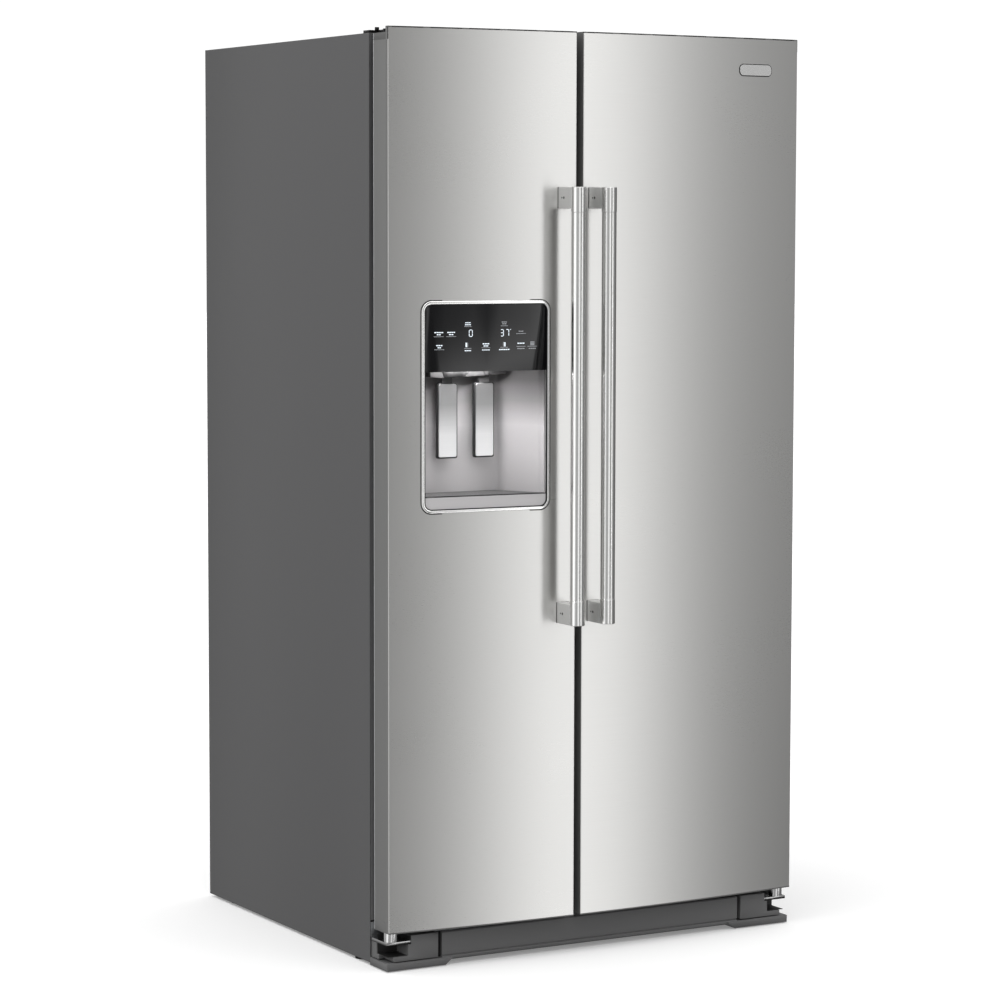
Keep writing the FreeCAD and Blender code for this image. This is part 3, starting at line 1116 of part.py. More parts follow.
def build():
    fill_sheet()
    cabinet_shell()
    rear_panel()
    insulation()
    liner("freezer_liner", "cold_x0", "cold_x1")
    liner("fridge_liner", "cool_x0", "cool_x1")
    base_frame()
    for end in AXLES:
        rollers(end)
    for tag, sign in SIDES:
        leveling_leg(tag, sign)
    machine_cover()
    compressor()
    condenser()
    drain_pan()
    water_valve()
    door_hinges()
    hinge_screws()
    base_grille()
    grille_ends()
    evaporator()
    evaporator_cover()
    freezer_shelves()
    ice_maker()
    freezer_basket()
    fridge_shelves()
    crisper("crisper_lower", 0, "step_y - crisper_lower_air")
    crisper("crisper_upper", 1, "cavity_back - crisper_upper_air")
    crisper_cover()
    control_box()
    water_filter()
    for door in DOORS:
        door_skin(door)
        door_core(door)
        door_caps(door)
        door_liner(door)
        door_gasket(door)
        door_bins(door)
        door_handle(door)
    dispenser_bezel()
    dispenser_panel()
    dispenser_housing()
    paddle("ice_paddle", "bezel_mid - paddle_pitch / 2")
    paddle("water_paddle", "bezel_mid + paddle_pitch / 2")
    chute_flap()
    tray()
    ice_bin()
    nameplate()


def check():
    """Stop if any object failed or any sub-part is empty or invalid."""
    doc.recompute()
    for item in doc.Objects:
        if "Invalid" in item.State or "Error" in item.State:
            raise RuntimeError(f"{item.Label} failed: {item.State}")
    for item in nodes:
        if item.Shape.isNull() or not item.Shape.isValid() or not item.Shape.Solids:
            raise RuntimeError(f"{item.Label} has no valid shape")


def export():
    os.makedirs("parts", exist_ok=True)
    for item in nodes:
        item.Shape.exportStep(f"parts/{item.Label}.step")
        print(item.Label, len(item.Shape.Solids), round(item.Shape.Volume))


build()
check()
export()
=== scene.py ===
import bmesh
import bpy
import json
import math
from mathutils import Matrix, Vector

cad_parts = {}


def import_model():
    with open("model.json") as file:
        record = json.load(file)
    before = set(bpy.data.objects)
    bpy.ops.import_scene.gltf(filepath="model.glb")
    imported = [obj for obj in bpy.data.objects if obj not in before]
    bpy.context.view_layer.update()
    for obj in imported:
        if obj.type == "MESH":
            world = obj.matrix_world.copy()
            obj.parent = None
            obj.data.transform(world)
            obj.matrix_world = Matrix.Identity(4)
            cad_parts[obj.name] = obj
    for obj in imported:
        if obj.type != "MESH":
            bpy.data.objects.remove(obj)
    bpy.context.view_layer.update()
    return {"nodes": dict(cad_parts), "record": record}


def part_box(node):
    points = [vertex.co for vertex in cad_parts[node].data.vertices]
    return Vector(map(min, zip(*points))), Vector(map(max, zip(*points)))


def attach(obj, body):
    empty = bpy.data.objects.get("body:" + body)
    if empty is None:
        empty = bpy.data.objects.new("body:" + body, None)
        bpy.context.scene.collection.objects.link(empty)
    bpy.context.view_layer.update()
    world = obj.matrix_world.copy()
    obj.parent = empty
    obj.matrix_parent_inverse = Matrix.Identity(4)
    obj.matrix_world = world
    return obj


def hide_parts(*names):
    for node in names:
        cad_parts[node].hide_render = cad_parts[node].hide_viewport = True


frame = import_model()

MM = 0.001
NODES = frame["nodes"]
SLOT_OF = {row["node"]: row["material_slot"] for row in frame["record"]["subparts"]}


# ---------------------------------------------------------------- measures taken from the frame
def low(node):
    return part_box(node)[0]


def high(node):
    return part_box(node)[1]


def middle(node):
    return (low(node) + high(node)) / 2


DOOR_WIDTH = high("fridge_door_caps").x - low("freezer_door_caps").x
BULGE = 23 * MM
HALF = DOOR_WIDTH / 2
BOW_RADIUS = (HALF * HALF + BULGE * BULGE) / (2 * BULGE)
FRONT_Y = low("fridge_door_skin").y
BOW_Y = FRONT_Y + BOW_RADIUS
FACE_Y = BOW_Y - math.sqrt(BOW_RADIUS ** 2 - HALF ** 2)


def front_y(x, proud=0.0):
    """The Y of the bowed door front at X, or of a surface that stands proud of it."""
    return BOW_Y - math.sqrt((BOW_RADIUS + proud) ** 2 - x * x)


# ---------------------------------------------------------------- materials
SURFACES = {}
GRAIN_DETAIL = 4.0
GRAIN_ROUGHNESS = 0.6
BROAD_SCALE = 3.0
BROAD_DETAIL = 2.0


def add_node(tree, kind, **settings):
    """A new node with its sockets or its own properties set by name."""
    item = tree.nodes.new(kind)
    for key, setting in settings.items():
        if key in item.inputs:
            item.inputs[key].default_value = setting
        else:
            setattr(item, key, setting)
    return item


def ramp(tree, source, low_value, high_value):
    """The source's 0 to 1 spread over two values."""
    item = tree.nodes.new("ShaderNodeMapRange")
    item.inputs["To Min"].default_value = low_value
    item.inputs["To Max"].default_value = high_value
    tree.links.new(source, item.inputs["Value"])
    return item.outputs["Result"]


def tinted(tree, source, colour, spread):
    """The colour, darkened and lightened by a spread as the source goes from 0 to 1."""
    item = add_node(tree, "ShaderNodeMix", data_type="RGBA")
    item.inputs["A"].default_value = (*[c * (1 - spread) for c in colour], 1)
    item.inputs["B"].default_value = (*[min(1.0, c * (1 + spread)) for c in colour], 1)
    tree.links.new(source, item.inputs["Factor"])
    return item.outputs["Result"]


def graded(tree, coordinates, colour, grades):
    """The colour darkened by a ramp over height, given as pairs of height and share."""
    split = add_node(tree, "ShaderNodeSeparateXYZ")
    tree.links.new(coordinates.outputs["Object"], split.inputs[0])
    bottom, top = grades[0][0], grades[-1][0]
    height = add_node(tree, "ShaderNodeMapRange")
    height.inputs["From Min"].default_value = bottom
    height.inputs["From Max"].default_value = top
    tree.links.new(split.outputs["Z"], height.inputs["Value"])
    band = add_node(tree, "ShaderNodeValToRGB")
    stops = band.color_ramp
    while len(stops.elements) < len(grades):
        stops.elements.new(0.5)
    for element, (level, share) in zip(stops.elements, grades):
        element.position = (level - bottom) / (top - bottom)
        element.color = (share, share, share, 1)
    tree.links.new(height.outputs["Result"], band.inputs["Fac"])
    product = add_node(tree, "ShaderNodeMix", data_type="RGBA", blend_type="MULTIPLY")
    product.inputs["Factor"].default_value = 1.0
    tree.links.new(colour, product.inputs["A"])
    tree.links.new(band.outputs["Color"], product.inputs["B"])
    return product.outputs["Result"]


def material(name, colour, rough, grain=(60, 60, 60), spread=0.04, rough_spread=0.04, bump=0.02,
             bump_size=0.0002, grades=None, **sockets):
    """A procedural surface: a stretched noise drives colour, roughness and a fine relief."""
    made = bpy.data.materials.new(name)
    made.use_nodes = True
    tree = made.node_tree
    shader = tree.nodes["Principled BSDF"]
    coordinates = add_node(tree, "ShaderNodeTexCoord")
    mapping = add_node(tree, "ShaderNodeMapping", Scale=grain)
    noise = add_node(tree, "ShaderNodeTexNoise", Scale=1.0, Detail=GRAIN_DETAIL, Roughness=GRAIN_ROUGHNESS)
    broad = add_node(tree, "ShaderNodeTexNoise", Scale=BROAD_SCALE, Detail=BROAD_DETAIL)
    tree.links.new(coordinates.outputs["Object"], mapping.inputs["Vector"])
    tree.links.new(mapping.outputs["Vector"], noise.inputs["Vector"])
    tree.links.new(coordinates.outputs["Object"], broad.inputs["Vector"])
    shade = tinted(tree, noise.outputs["Fac"], colour, spread)
    if grades:
        shade = graded(tree, coordinates, shade, grades)
    tree.links.new(shade, shader.inputs["Base Color"])
    both = add_node(tree, "ShaderNodeMath", operation="ADD")
    tree.links.new(noise.outputs["Fac"], both.inputs[0])
    tree.links.new(broad.outputs["Fac"], both.inputs[1])
    tree.links.new(ramp(tree, both.outputs["Value"], rough - rough_spread, rough + rough_spread / 2),
                   shader.inputs["Roughness"])
    if bump:
        relief = add_node(tree, "ShaderNodeBump", Strength=bump, Distance=bump_size)
        tree.links.new(noise.outputs["Fac"], relief.inputs["Height"])
        tree.links.new(relief.outputs["Normal"], shader.inputs["Normal"])
    if "Anisotropic" in sockets:
        upright = add_node(tree, "ShaderNodeCombineXYZ", Z=1.0)
        tree.links.new(upright.outputs["Vector"], shader.inputs["Tangent"])
    for key, setting in sockets.items():
        shader.inputs[key.replace("_", " ")].default_value = setting
    SURFACES[name] = made
    return made


def metal(name, colour, rough, grain, **settings):
    """A bare metal with its grain stretched one way."""
    material(name, colour, rough, grain, Metallic=1.0, **settings)


def moulded(name, colour, rough, pore=900, **settings):
    """A plastic with a fine moulded grain."""
    material(name, colour, rough, (pore, pore, pore), **settings)


def lit_mark(name, colour, strength):
    """A smooth surface that glows a little."""
    made = material(name, colour, MARK_ROUGH, bump=0)
    shader = made.node_tree.nodes["Principled BSDF"]
    shader.inputs["Emission Color"].default_value = (*colour, 1)
    shader.inputs["Emission Strength"].default_value = strength


MARK_ROUGH = 0.4
TRAY_Z = high("dispenser_tray").z
PANEL_Z = low("dispenser_panel").z
PADDLE_Z = low("ice_paddle").z
# heights in metres, each with the share of the colour that is left there
# painted shade on the alcove's wall: a little darker at and below the tray, darkest up under the panel
RECESS_PAINTED_SHADE = ((TRAY_Z - 0.03, 0.85), (TRAY_Z, 0.85), (TRAY_Z + 0.07, 1.0), (PADDLE_Z + 0.06, 1.0),
                 (PANEL_Z - 0.06, 0.45), (PANEL_Z - 0.02, 0.2), (PANEL_Z + 0.02, 0.15))
HINGE_GRADES = ((0.0, 0.04), (0.0515, 0.04), (0.0525, 1.0), (0.5, 1.0), (0.9, 0.04), (1.8, 0.04))
# painted shade on the paddles: darker towards their tops, under the panel
PADDLE_PAINTED_SHADE = ((PADDLE_Z, 1.0), (PADDLE_Z + 0.045, 0.9), (PADDLE_Z + 0.1, 0.42), (PADDLE_Z + 0.15, 0.34))
ALONG_Z = (1400, 1400, 5)
ALONG_X = (5, 1400, 1400)
material("cabinet_paint", (0.105, 0.105, 0.107), 0.42, (700, 700, 700), spread=0.05, bump=0.08)
material("foam", (0.78, 0.72, 0.52), 0.9, (300, 300, 300), spread=0.1, bump=0.5, bump_size=0.001)
moulded("liner_plastic", (0.82, 0.83, 0.84), 0.28, 200, bump=0.03)
metal("frame_steel", (0.36, 0.37, 0.38), 0.42, (60, 60, 60), spread=0.15)
material("black_paint", (0.016, 0.016, 0.017), 0.36, (500, 500, 500), bump=0.1)
metal("coil_metal", (0.62, 0.63, 0.64), 0.35, (6, 6, 420), spread=0.3, bump=0.6, bump_size=0.001)
moulded("black_plastic", (0.022, 0.022, 0.023), 0.5, bump=0.1)
moulded("white_plastic", (0.8, 0.81, 0.82), 0.4, bump=0.06)
moulded("white_wire", (0.82, 0.82, 0.82), 0.32, bump=0.04)
moulded("clear_glass", (0.62, 0.72, 0.7), 0.04, bump=0, rough_spread=0.02, Alpha=0.24)
moulded("clear_plastic", (0.78, 0.82, 0.84), 0.12, 300, bump=0.01, Alpha=0.32)
metal("hinge_steel", (0.6, 0.6, 0.6), 0.2, (40, 40, 300), spread=0.08, bump=0.05, grades=HINGE_GRADES)
moulded("grille_plastic", (0.15, 0.15, 0.151), 0.5, spread=0.05, bump=0.1)
metal("bezel_metal", (0.9, 0.9, 0.89), 0.14, (30, 30, 30), spread=0.02, bump=0)
material("black_gloss", (0.004, 0.004, 0.005), 0.1, (20, 20, 20), bump=0, rough_spread=0.02, IOR=1.45,
         Specular_IOR_Level=0.5)
# the alcove's plastic, with painted shade from the height ramp; the drip tray's lip uses it too
material("recess_plastic", (0.84, 0.82, 0.83), 0.42, (900, 900, 900), spread=0.03, bump=0.04,
         grades=RECESS_PAINTED_SHADE)
# the paddles' brushed metal, with painted shade that darkens it towards the top
metal("brushed_paddle", (0.95, 0.95, 0.96), 0.36, ALONG_X, spread=0.05, bump=0.1, grades=PADDLE_PAINTED_SHADE)
metal("stainless", (0.6, 0.597, 0.585), 0.27, ALONG_X, spread=0.04, bump=0.0, rough_spread=0.03,
      Anisotropic=0.6)
material("door_side_paint", (0.2, 0.2, 0.197), 0.4, (700, 700, 700), spread=0.04, bump=0.06)
moulded("cap_plastic", (0.16, 0.16, 0.158), 0.48, spread=0.05, bump=0.1)
moulded("gasket_rubber", (0.009, 0.009, 0.009), 0.8, 400, bump=0.1, Specular_IOR_Level=0.2)
metal("handle_steel", (0.78, 0.78, 0.77), 0.22, ALONG_Z, spread=0.03, bump=0.0, rough_spread=0.02)
metal("post_steel", (0.95, 0.95, 0.94), 0.5, ALONG_X, spread=0.03, bump=0.0)
moulded("hood_plastic", (0.045, 0.045, 0.045), 0.5, spread=0.04, bump=0.06)
moulded("tray_plastic", (0.17, 0.17, 0.17), 0.45, spread=0.04, bump=0.06)
# near black: dark joints, seals, the tray's bed and the nameplate's foot, and the sheets of painted shade
# in the base's notches
moulded("dark_seam_and_painted_shade", (0.012, 0.012, 0.012), 0.55, 600, bump=0.05)
lit_mark("mark_bright", (0.8, 0.88, 0.95), 0.7)
lit_mark("mark_dim", (0.5, 0.52, 0.55), 0.12)
lit_mark("lamp_lens", (1.0, 0.98, 0.99), 52.0)
metal("plate_field", (0.75, 0.75, 0.74), 0.34, ALONG_X, spread=0.05, bump=0.05)


# ---------------------------------------------------------------- mesh building
SAME_POINT = 1e-6


def settle(item, angle=35):
    """Smooth shading with sharp edges kept past an angle in degrees."""
    mesh = item.data
    mesh.shade_smooth()
    mesh.set_sharp_from_angle(angle=math.radians(angle))


def piece(name, mesh, body, surface, nodes=(), angle=35):
    """A mesh shown as its own piece: it rides on a body and may stand in for CAD nodes."""
    item = bpy.data.objects.new(name, mesh)
    bpy.context.scene.collection.objects.link(item)
    mesh.materials.append(SURFACES[surface])
    settle(item, angle)
    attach(item, body)
    if nodes:
        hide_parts(*nodes)
    return item


def mesh_of(name, points, faces):
    """A mesh with its double points merged and its faces turned outwards."""
    mesh = bpy.data.meshes.new(name)
    mesh.from_pydata([tuple(p) for p in points], [], faces)
    work = bmesh.new()
    work.from_mesh(mesh)
    bmesh.ops.remove_doubles(work, verts=work.verts, dist=SAME_POINT)
    bmesh.ops.recalc_face_normals(work, faces=work.faces)
    work.to_mesh(mesh)
    work.free()
    mesh.update()
    return mesh


def thicken(mesh, depth):
    """Gives a sheet its thickness, towards the inside."""
    work = bmesh.new()
    work.from_mesh(mesh)
    bmesh.ops.solidify(work, geom=work.faces[:], thickness=depth)
    bmesh.ops.recalc_face_normals(work, faces=work.faces)
    work.to_mesh(mesh)
    work.free()
    mesh.update()
    return mesh


def joined(name, parts):
    """One mesh from several lists of points and faces."""
    points, faces = [], []
    for part_points, part_faces in parts:
        start = len(points)
        points += part_points
        faces += [[start + index for index in face] for face in part_faces]
    return mesh_of(name, points, faces)


def round_edges(item, width, segments=3, angle=30):
    """A small round on the edges that turn more than an angle in degrees."""
    edge = item.modifiers.new("edge", "BEVEL")
    edge.width = width
    edge.segments = segments
    edge.limit_method = "ANGLE"
    edge.angle_limit = math.radians(angle)
    edge.harden_normals = True
    return edge


def block(x0, x1, y0, y1, z0, z1):
    """A plain box between two corners."""
    points = [(x, y, z) for z in (z0, z1) for y in (y0, y1) for x in (x0, x1)]
    faces = [(0, 2, 3, 1), (4, 5, 7, 6), (0, 1, 5, 4), (2, 6, 7, 3), (0, 4, 6, 2), (1, 3, 7, 5)]
    return points, faces


def lathe(profile, centre, axis="z", steps=64):
    """A turned shape from (radius, height) pairs round an axis through the centre."""
    points, faces = [], []
    for radius, height in profile:
        for step in range(steps):
            turn = 2 * math.pi * step / steps
            a, b = radius * math.cos(turn), radius * math.sin(turn)
            offset = {"z": (a, b, height), "y": (a, height, b), "x": (height, a, b)}[axis]
            points.append(tuple(Vector(centre) + Vector(offset)))
    for ring in range(len(profile) - 1):
        for step in range(steps):
            following = (step + 1) % steps
            faces.append((ring * steps + step, ring * steps + following,
                          (ring + 1) * steps + following, (ring + 1) * steps + step))
    last = (len(profile) - 1) * steps
    faces.append(tuple(range(steps)))
    faces.append(tuple(last + step for step in range(steps)))
    return points, faces


def rounded_outline(x0, x1, z0, z1, corner, steps=8):
    """Points round a rectangle with round corners, seen from the front."""
    outline = []
    centres = [(x1 - corner, z0 + corner, -90), (x1 - corner, z1 - corner, 0),
               (x0 + corner, z1 - corner, 90), (x0 + corner, z0 + corner, 180)]
    for across, up, start in centres:
        for step in range(steps + 1):
            turn = math.radians(start + 90 * step / steps)
            outline.append((across + corner * math.cos(turn), up + corner * math.sin(turn)))
    return outline


def slab(outline, y0, y1):
    """A plate between two depths, each a number or a function of X, with a given front outline."""
    count = len(outline)
    depth0 = y0 if callable(y0) else (lambda x: y0)
    depth1 = y1 if callable(y1) else (lambda x: y1)
    points = [(x, depth0(x), z) for x, z in outline] + [(x, depth1(x), z) for x, z in outline]
    faces = [tuple(range(count)), tuple(range(count, 2 * count))]
    for index in range(count):
        following = (index + 1) % count
        faces.append((index, following, count + following, count + index))
    return points, faces


def ring_band(rows):
    """Faces between equal closed rows of points."""
    count = len(rows[0])
    points = [point for row in rows for point in row]
    faces = []
    for row in range(len(rows) - 1):
        for index in range(count):
            following = (index + 1) % count
            faces.append((row * count + index, row * count + following,
                          (row + 1) * count + following, (row + 1) * count + index))
    return points, faces


# ---------------------------------------------------------------- door panels
SKIN_RETURN = 2 * MM
EDGE_ROUND = 1 * MM
EDGE_HOLD = 0.4 * MM
ARC_STEPS = 6
PANEL_COLUMNS = 48
SHEET = 0.8 * MM
TRIM_COLUMNS = 24
TRIM_LIFT = 0.2 * MM
TRIM_DEPTH = 2 * MM
TRIM_DROP = 24 * MM
TRIM_WIDTH = 1.3 * MM


def trim(door, x0, x1, z0):
    """The dark lip of the top cap along the door's upper edge, turned down at the outer corner."""
    top = high(door + "_door_caps").z
    column = (x1 - x0) / TRIM_COLUMNS
    shapes = []
    for k in range(TRIM_COLUMNS):
        start, end = x0 + k * column, x0 + (k + 1) * column
        outline = [(start, z0 + TRIM_LIFT), (end, z0 + TRIM_LIFT), (end, top), (start, top)]
        shapes.append(slab(outline, front_y, lambda x: front_y(x) + TRIM_DEPTH))
    outer = x0 if abs(x0) > abs(x1) else x1
    inward = TRIM_WIDTH if outer < 0 else -TRIM_WIDTH
    corner = sorted((outer, outer + inward))
    shapes.append(block(*corner, front_y(outer), front_y(outer) + TRIM_DEPTH, top - TRIM_DROP, top))
    piece(door + "_door_trim", joined("trim", shapes), door + "_door", "dark_seam_and_painted_shade")


def edge_arc(edge, sign):
    """Points in X and Y round one upright edge, from its return to the face."""
    arc = [(edge, front_y(edge) + SKIN_RETURN)]
    for step in range(ARC_STEPS + 1):
        turn = math.radians(90 * step / ARC_STEPS)
        x = edge + sign * EDGE_ROUND * (1 - math.cos(turn))
        arc.append((x, front_y(x) + EDGE_ROUND * (1 - math.sin(turn))))
    return arc


def panel_section(x0, x1, hole):
    """Points in X and Y across a door's face, with one at each side of the hole."""
    start, end = x0 + EDGE_ROUND, x1 - EDGE_ROUND
    inner = [start + (end - start) * k / PANEL_COLUMNS for k in range(1, PANEL_COLUMNS)]
    inner = [start + EDGE_HOLD, *inner, end - EDGE_HOLD]
    if hole:
        inner = sorted(inner + [hole[0], hole[1]])
    return edge_arc(x0, 1) + [(x, front_y(x)) for x in inner] + edge_arc(x1, -1)[::-1]


def panel_faces(across, levels, hole):
    """The faces of a grid of columns and levels, without the ones inside the hole."""
    width = len(across)
    faces = []
    for row in range(len(levels) - 1):
        for k in range(width - 1):
            centre = (across[k][0] + across[k + 1][0]) / 2
            inside = hole and row == 1 and hole[0] < centre < hole[1]
            if not inside:
                first = row * width + k
                faces.append((first, first + 1, first + width + 1, first + width))
    return faces


def door_panel(door, hole=None):
    """The pressed front: bowed across, with round upright edges and, on one door, a hole."""
    node = door + "_door_skin"
    x0, x1 = low(node).x, high(node).x
    z0, z1 = low(node).z, high(node).z
    across = panel_section(x0, x1, hole)
    levels = [z0, hole[2], hole[3], z1] if hole else [z0, z1]
    points = [(x, y, z) for z in levels for x, y in across]
    sheet = thicken(mesh_of(node, points, panel_faces(across, levels, hole)), SHEET)
    piece(door + "_door_panel", sheet, door + "_door", "stainless", [node])
    strips = [block(edge, inner, front_y(edge) + SKIN_RETURN, high(node).y, z0, z1)
              for edge, inner in ((x0, x0 + SHEET), (x1, x1 - SHEET))]
    piece(door + "_door_returns", joined("returns", strips), door + "_door", "door_side_paint")
    trim(door, x0, x1, z1)


BEZEL_RIM = 7 * MM
bezel_low, bezel_high = low("dispenser_bezel"), high("dispenser_bezel")
open_x0, open_x1 = bezel_low.x + BEZEL_RIM, bezel_high.x - BEZEL_RIM
open_z0, open_z1 = bezel_low.z + BEZEL_RIM, bezel_high.z - BEZEL_RIM
door_panel("freezer", (open_x0, open_x1, open_z0, open_z1))
door_panel("fridge")


# ---------------------------------------------------------------- handles
GROOVE = 0.5 * MM
END_CHAMFER = 1 * MM
END_ROUND = 2.2 * MM
END_CROWN = 0.25 * MM
TUBE_STEPS = 96
POST_HEIGHT = 40 * MM
POST_SIDE = 0.6 * MM
POST_AIR = 0.3 * MM
POST_ROUND = 1.2 * MM
POST_FRONT = 2 * MM
POST_SINK = 0.5 * MM
SEAL_ROUND = 1.6 * MM
SEAL_PROUD = 0.9 * MM
SEAL_SINK = 0.2 * MM
CORNER_STEPS = 4
# the two set screws in a post's side: distance in front of the door, then radius
SET_SCREWS = ((14 * MM, 1.5 * MM), (21 * MM, 2.3 * MM))
SCREW_STEPS = 20


def handle_tube(centre, radius, half):
    """The tube, with a narrow groove at each end."""
    neck = radius - GROOVE
    profile = [(neck, -half), (neck, -half + GROOVE), (radius, -half + 2 * GROOVE),
               (radius, half - 2 * GROOVE), (neck, half - GROOVE), (neck, half)]
    return lathe(profile, centre, steps=TUBE_STEPS)


def handle_end(centre, radius, start, length, is_upper):
    """A turned casting: a crowned outer end, and a groove beside the tube."""
    profile = [(radius - END_ROUND, 0), (radius - END_CHAMFER, END_CROWN),
               (radius, END_CHAMFER + END_CROWN), (radius, length - GROOVE), (radius - GROOVE, length)]
    if is_upper:
        profile = [(r, length - height) for r, height in reversed(profile)]
    return lathe(profile, (centre.x, centre.y, start), steps=TUBE_STEPS)


def handle_post(centre, half_width, start):
    """The flat post between a casting and the door."""
    outline = rounded_outline(centre.x - half_width, centre.x + half_width, start + POST_AIR,
                              start + POST_HEIGHT - POST_AIR, POST_ROUND, CORNER_STEPS)
    return slab(outline, centre.y + POST_FRONT, lambda x: front_y(x) + POST_SINK)


def handle_seal(centre, half_width, start):
    """The thin seal between a post and the door."""
    outline = rounded_outline(centre.x - half_width, centre.x + half_width, start, start + POST_HEIGHT,
                              SEAL_ROUND, CORNER_STEPS)
    return slab(outline, lambda x: front_y(x, SEAL_PROUD), lambda x: front_y(x) + SEAL_SINK)


def set_screw(place, side, radius):
    """The domed and dished end of a set screw, facing to one side."""
    profile = [(radius, -0.3 * MM), (radius, 0.15 * MM), (radius * 0.8, 0.25 * MM),
               (radius * 0.5, 0.05 * MM)]
    return lathe([(r, side * out) for r, out in profile], place, axis="x", steps=SCREW_STEPS)


def handle(door):
    """A tube between two castings, and under each casting a post, its set screws and its seal."""
    bar, posts = door + "_handle_bar", door + "_handle_posts"
    body = door + "_door"
    centre = middle(bar)
    radius = (high(bar).x - low(bar).x) / 2
    casting = (high(posts).x - low(posts).x) / 2
    z0, z1 = low(posts).z, high(posts).z
    half = (high(bar).z - low(bar).z) / 2
    length = low(bar).z - z0
    half_width = casting - POST_SIDE
    feet = (z0, z1 - POST_HEIGHT)
    tube = handle_tube(centre, radius, half)
    ends = [handle_end(centre, casting, z0, length, False),
            handle_end(centre, casting, high(bar).z, length, True)]
    arms = [handle_post(centre, half_width, start) for start in feet]
    seals = [handle_seal(centre, casting, start) for start in feet]
    screws = [set_screw((centre.x + side * half_width, front_y(centre.x) - out, start + POST_HEIGHT / 2),
                        side, size)
              for start in feet for side in (-1, 1) for out, size in SET_SCREWS]
    piece(door + "_handle_tube", joined("tube", [tube]), body, "handle_steel", [bar])
    piece(door + "_handle_ends", joined("ends", ends), body, "handle_steel", [posts])
    piece(door + "_handle_arms", joined("arms", arms), body, "post_steel")
    piece(door + "_handle_set_screws", joined("set_screws", screws), body, "black_plastic")
    piece(door + "_handle_feet", joined("feet", seals), body, "black_plastic")


handle("freezer")
handle("fridge")


# ---------------------------------------------------------------- dispenser: bright frame
BEZEL_CORNER = 20 * MM
BEZEL_STEPS = 12
# the frame's crowned section in millimetres: distance in from its outer edge, height over the door
BEZEL_SECTION = ((0.0, -2.0), (0.0, 1.4), (0.5, 2.1), (1.4, 2.5), (4.2, 2.5), (5.4, 2.1), (6.2, 1.0),
                 (6.8, -2.0), (7.0, -9.0))
# the seals outside and inside it: distance out from the same edge, height over the door
SEAL_SECTIONS = (((1.9, 0.1), (1.9, 0.5), (0.0, 0.5)), ((-5.3, 2.15), (-6.9, 2.15), (-7.3, -1.5)))


def bezel_row(grow, proud):
    """A closed row of points round the frame, grown outwards and proud of the door."""
    outline = rounded_outline(bezel_low.x - grow, bezel_high.x + grow, bezel_low.z - grow,
                              bezel_high.z + grow, BEZEL_CORNER + grow, BEZEL_STEPS)
    return [(x, front_y(x, proud), z) for x, z in outline]


def bezel():
    """A bright ring with a crowned section that follows the bowed front, and its dark seals."""
    ring = ring_band([bezel_row(-inset * MM, proud * MM) for inset, proud in BEZEL_SECTION])
    piece("dispenser_frame", joined("frame", [ring]), "freezer_door", "bezel_metal",
          ["dispenser_bezel"])
    seals = [ring_band([bezel_row(grow * MM, proud * MM) for grow, proud in section])
             for section in SEAL_SECTIONS]
    piece("dispenser_frame_seal", joined("seal", seals), "freezer_door", "dark_seam_and_painted_shade")


bezel()


# ---------------------------------------------------------------- dispenser: alcove
RECESS_BACK_WIDTH = 166 * MM
RECESS_DEPTH = 92 * MM
RECESS_ROUND = 6 * MM
RECESS_WALL = 1.2 * MM
RECESS_GAP = 0.4 * MM
RIM_DEPTH = 6 * MM
BEND_DEPTH = 3 * MM
ROOF_DROP = 4 * MM
FLOOR_LIFT = 0.5 * MM
recess_mid = (open_x0 + open_x1) / 2
recess_back_y = FACE_Y + RECESS_DEPTH


def fillet(path, radius, steps=10, longest=0.45):
    """A path of points in X and Y with its inner corners rounded, over a share of each stretch."""
    result = [path[0]]
    for index in range(1, len(path) - 1):
        corner = Vector(path[index])
        before = Vector(path[index - 1]) - corner
        after = Vector(path[index + 1]) - corner
        reach = min(radius, before.length * longest, after.length * longest)
        first = corner + before.normalized() * reach
        last = corner + after.normalized() * reach
        for step in range(steps + 1):
            t = step / steps
            point = first * (1 - t) ** 2 + corner * 2 * t * (1 - t) + last * t * t
            result.append((point.x, point.y))
    result.append(path[-1])
    return result


def recess_path(inset, radius):
    """The alcove's wall seen from above: two sides that narrow to a flat back."""
    half_back = RECESS_BACK_WIDTH / 2 - inset
    left, right = open_x0 + inset, open_x1 - inset
    back = recess_back_y - inset
    path = [(left, front_y(left) + RIM_DEPTH), (left, FACE_Y + BEND_DEPTH),
            (recess_mid - half_back, back), (recess_mid + half_back, back),
            (right, FACE_Y + BEND_DEPTH), (right, front_y(right) + RIM_DEPTH)]
    return fillet(path, radius)


def recess():
    """The moulded alcove: one wall that sweeps round, and a roof."""
    path = recess_path(RECESS_GAP, RECESS_ROUND)
    roof_z = open_z1 - ROOF_DROP
    levels = [open_z0 + FLOOR_LIFT, TRAY_Z, (TRAY_Z + roof_z) / 2, roof_z]
    points = [(x, y, z) for z in levels for x, y in path]
    count = len(path)
    faces = [(row * count + k, row * count + k + 1, (row + 1) * count + k + 1, (row + 1) * count + k)
             for row in range(len(levels) - 1) for k in range(count - 1)]
    faces.append(tuple((len(levels) - 1) * count + k for k in range(count)))
    wall = mesh_of("alcove", points, faces)
    piece("dispenser_alcove", thicken(wall, RECESS_WALL), "freezer_door", "recess_plastic",
          ["dispenser_housing"], angle=40)


recess()


# ---------------------------------------------------------------- dispenser: lamp, hood and nozzles
LAMP_LEFT, LAMP_RIGHT = 72 * MM, 40 * MM
LAMP_LOW, LAMP_HIGH = 1 * MM, 4 * MM
LAMP_ROUND = 1.2 * MM
LAMP_FRONT, LAMP_BACK = 24 * MM, 38 * MM
HOOD_AIR = 1 * MM
HOOD_RISE = 20 * MM
HOOD_DEPTH = 38 * MM
HOOD_BACK_AIR = 3 * MM
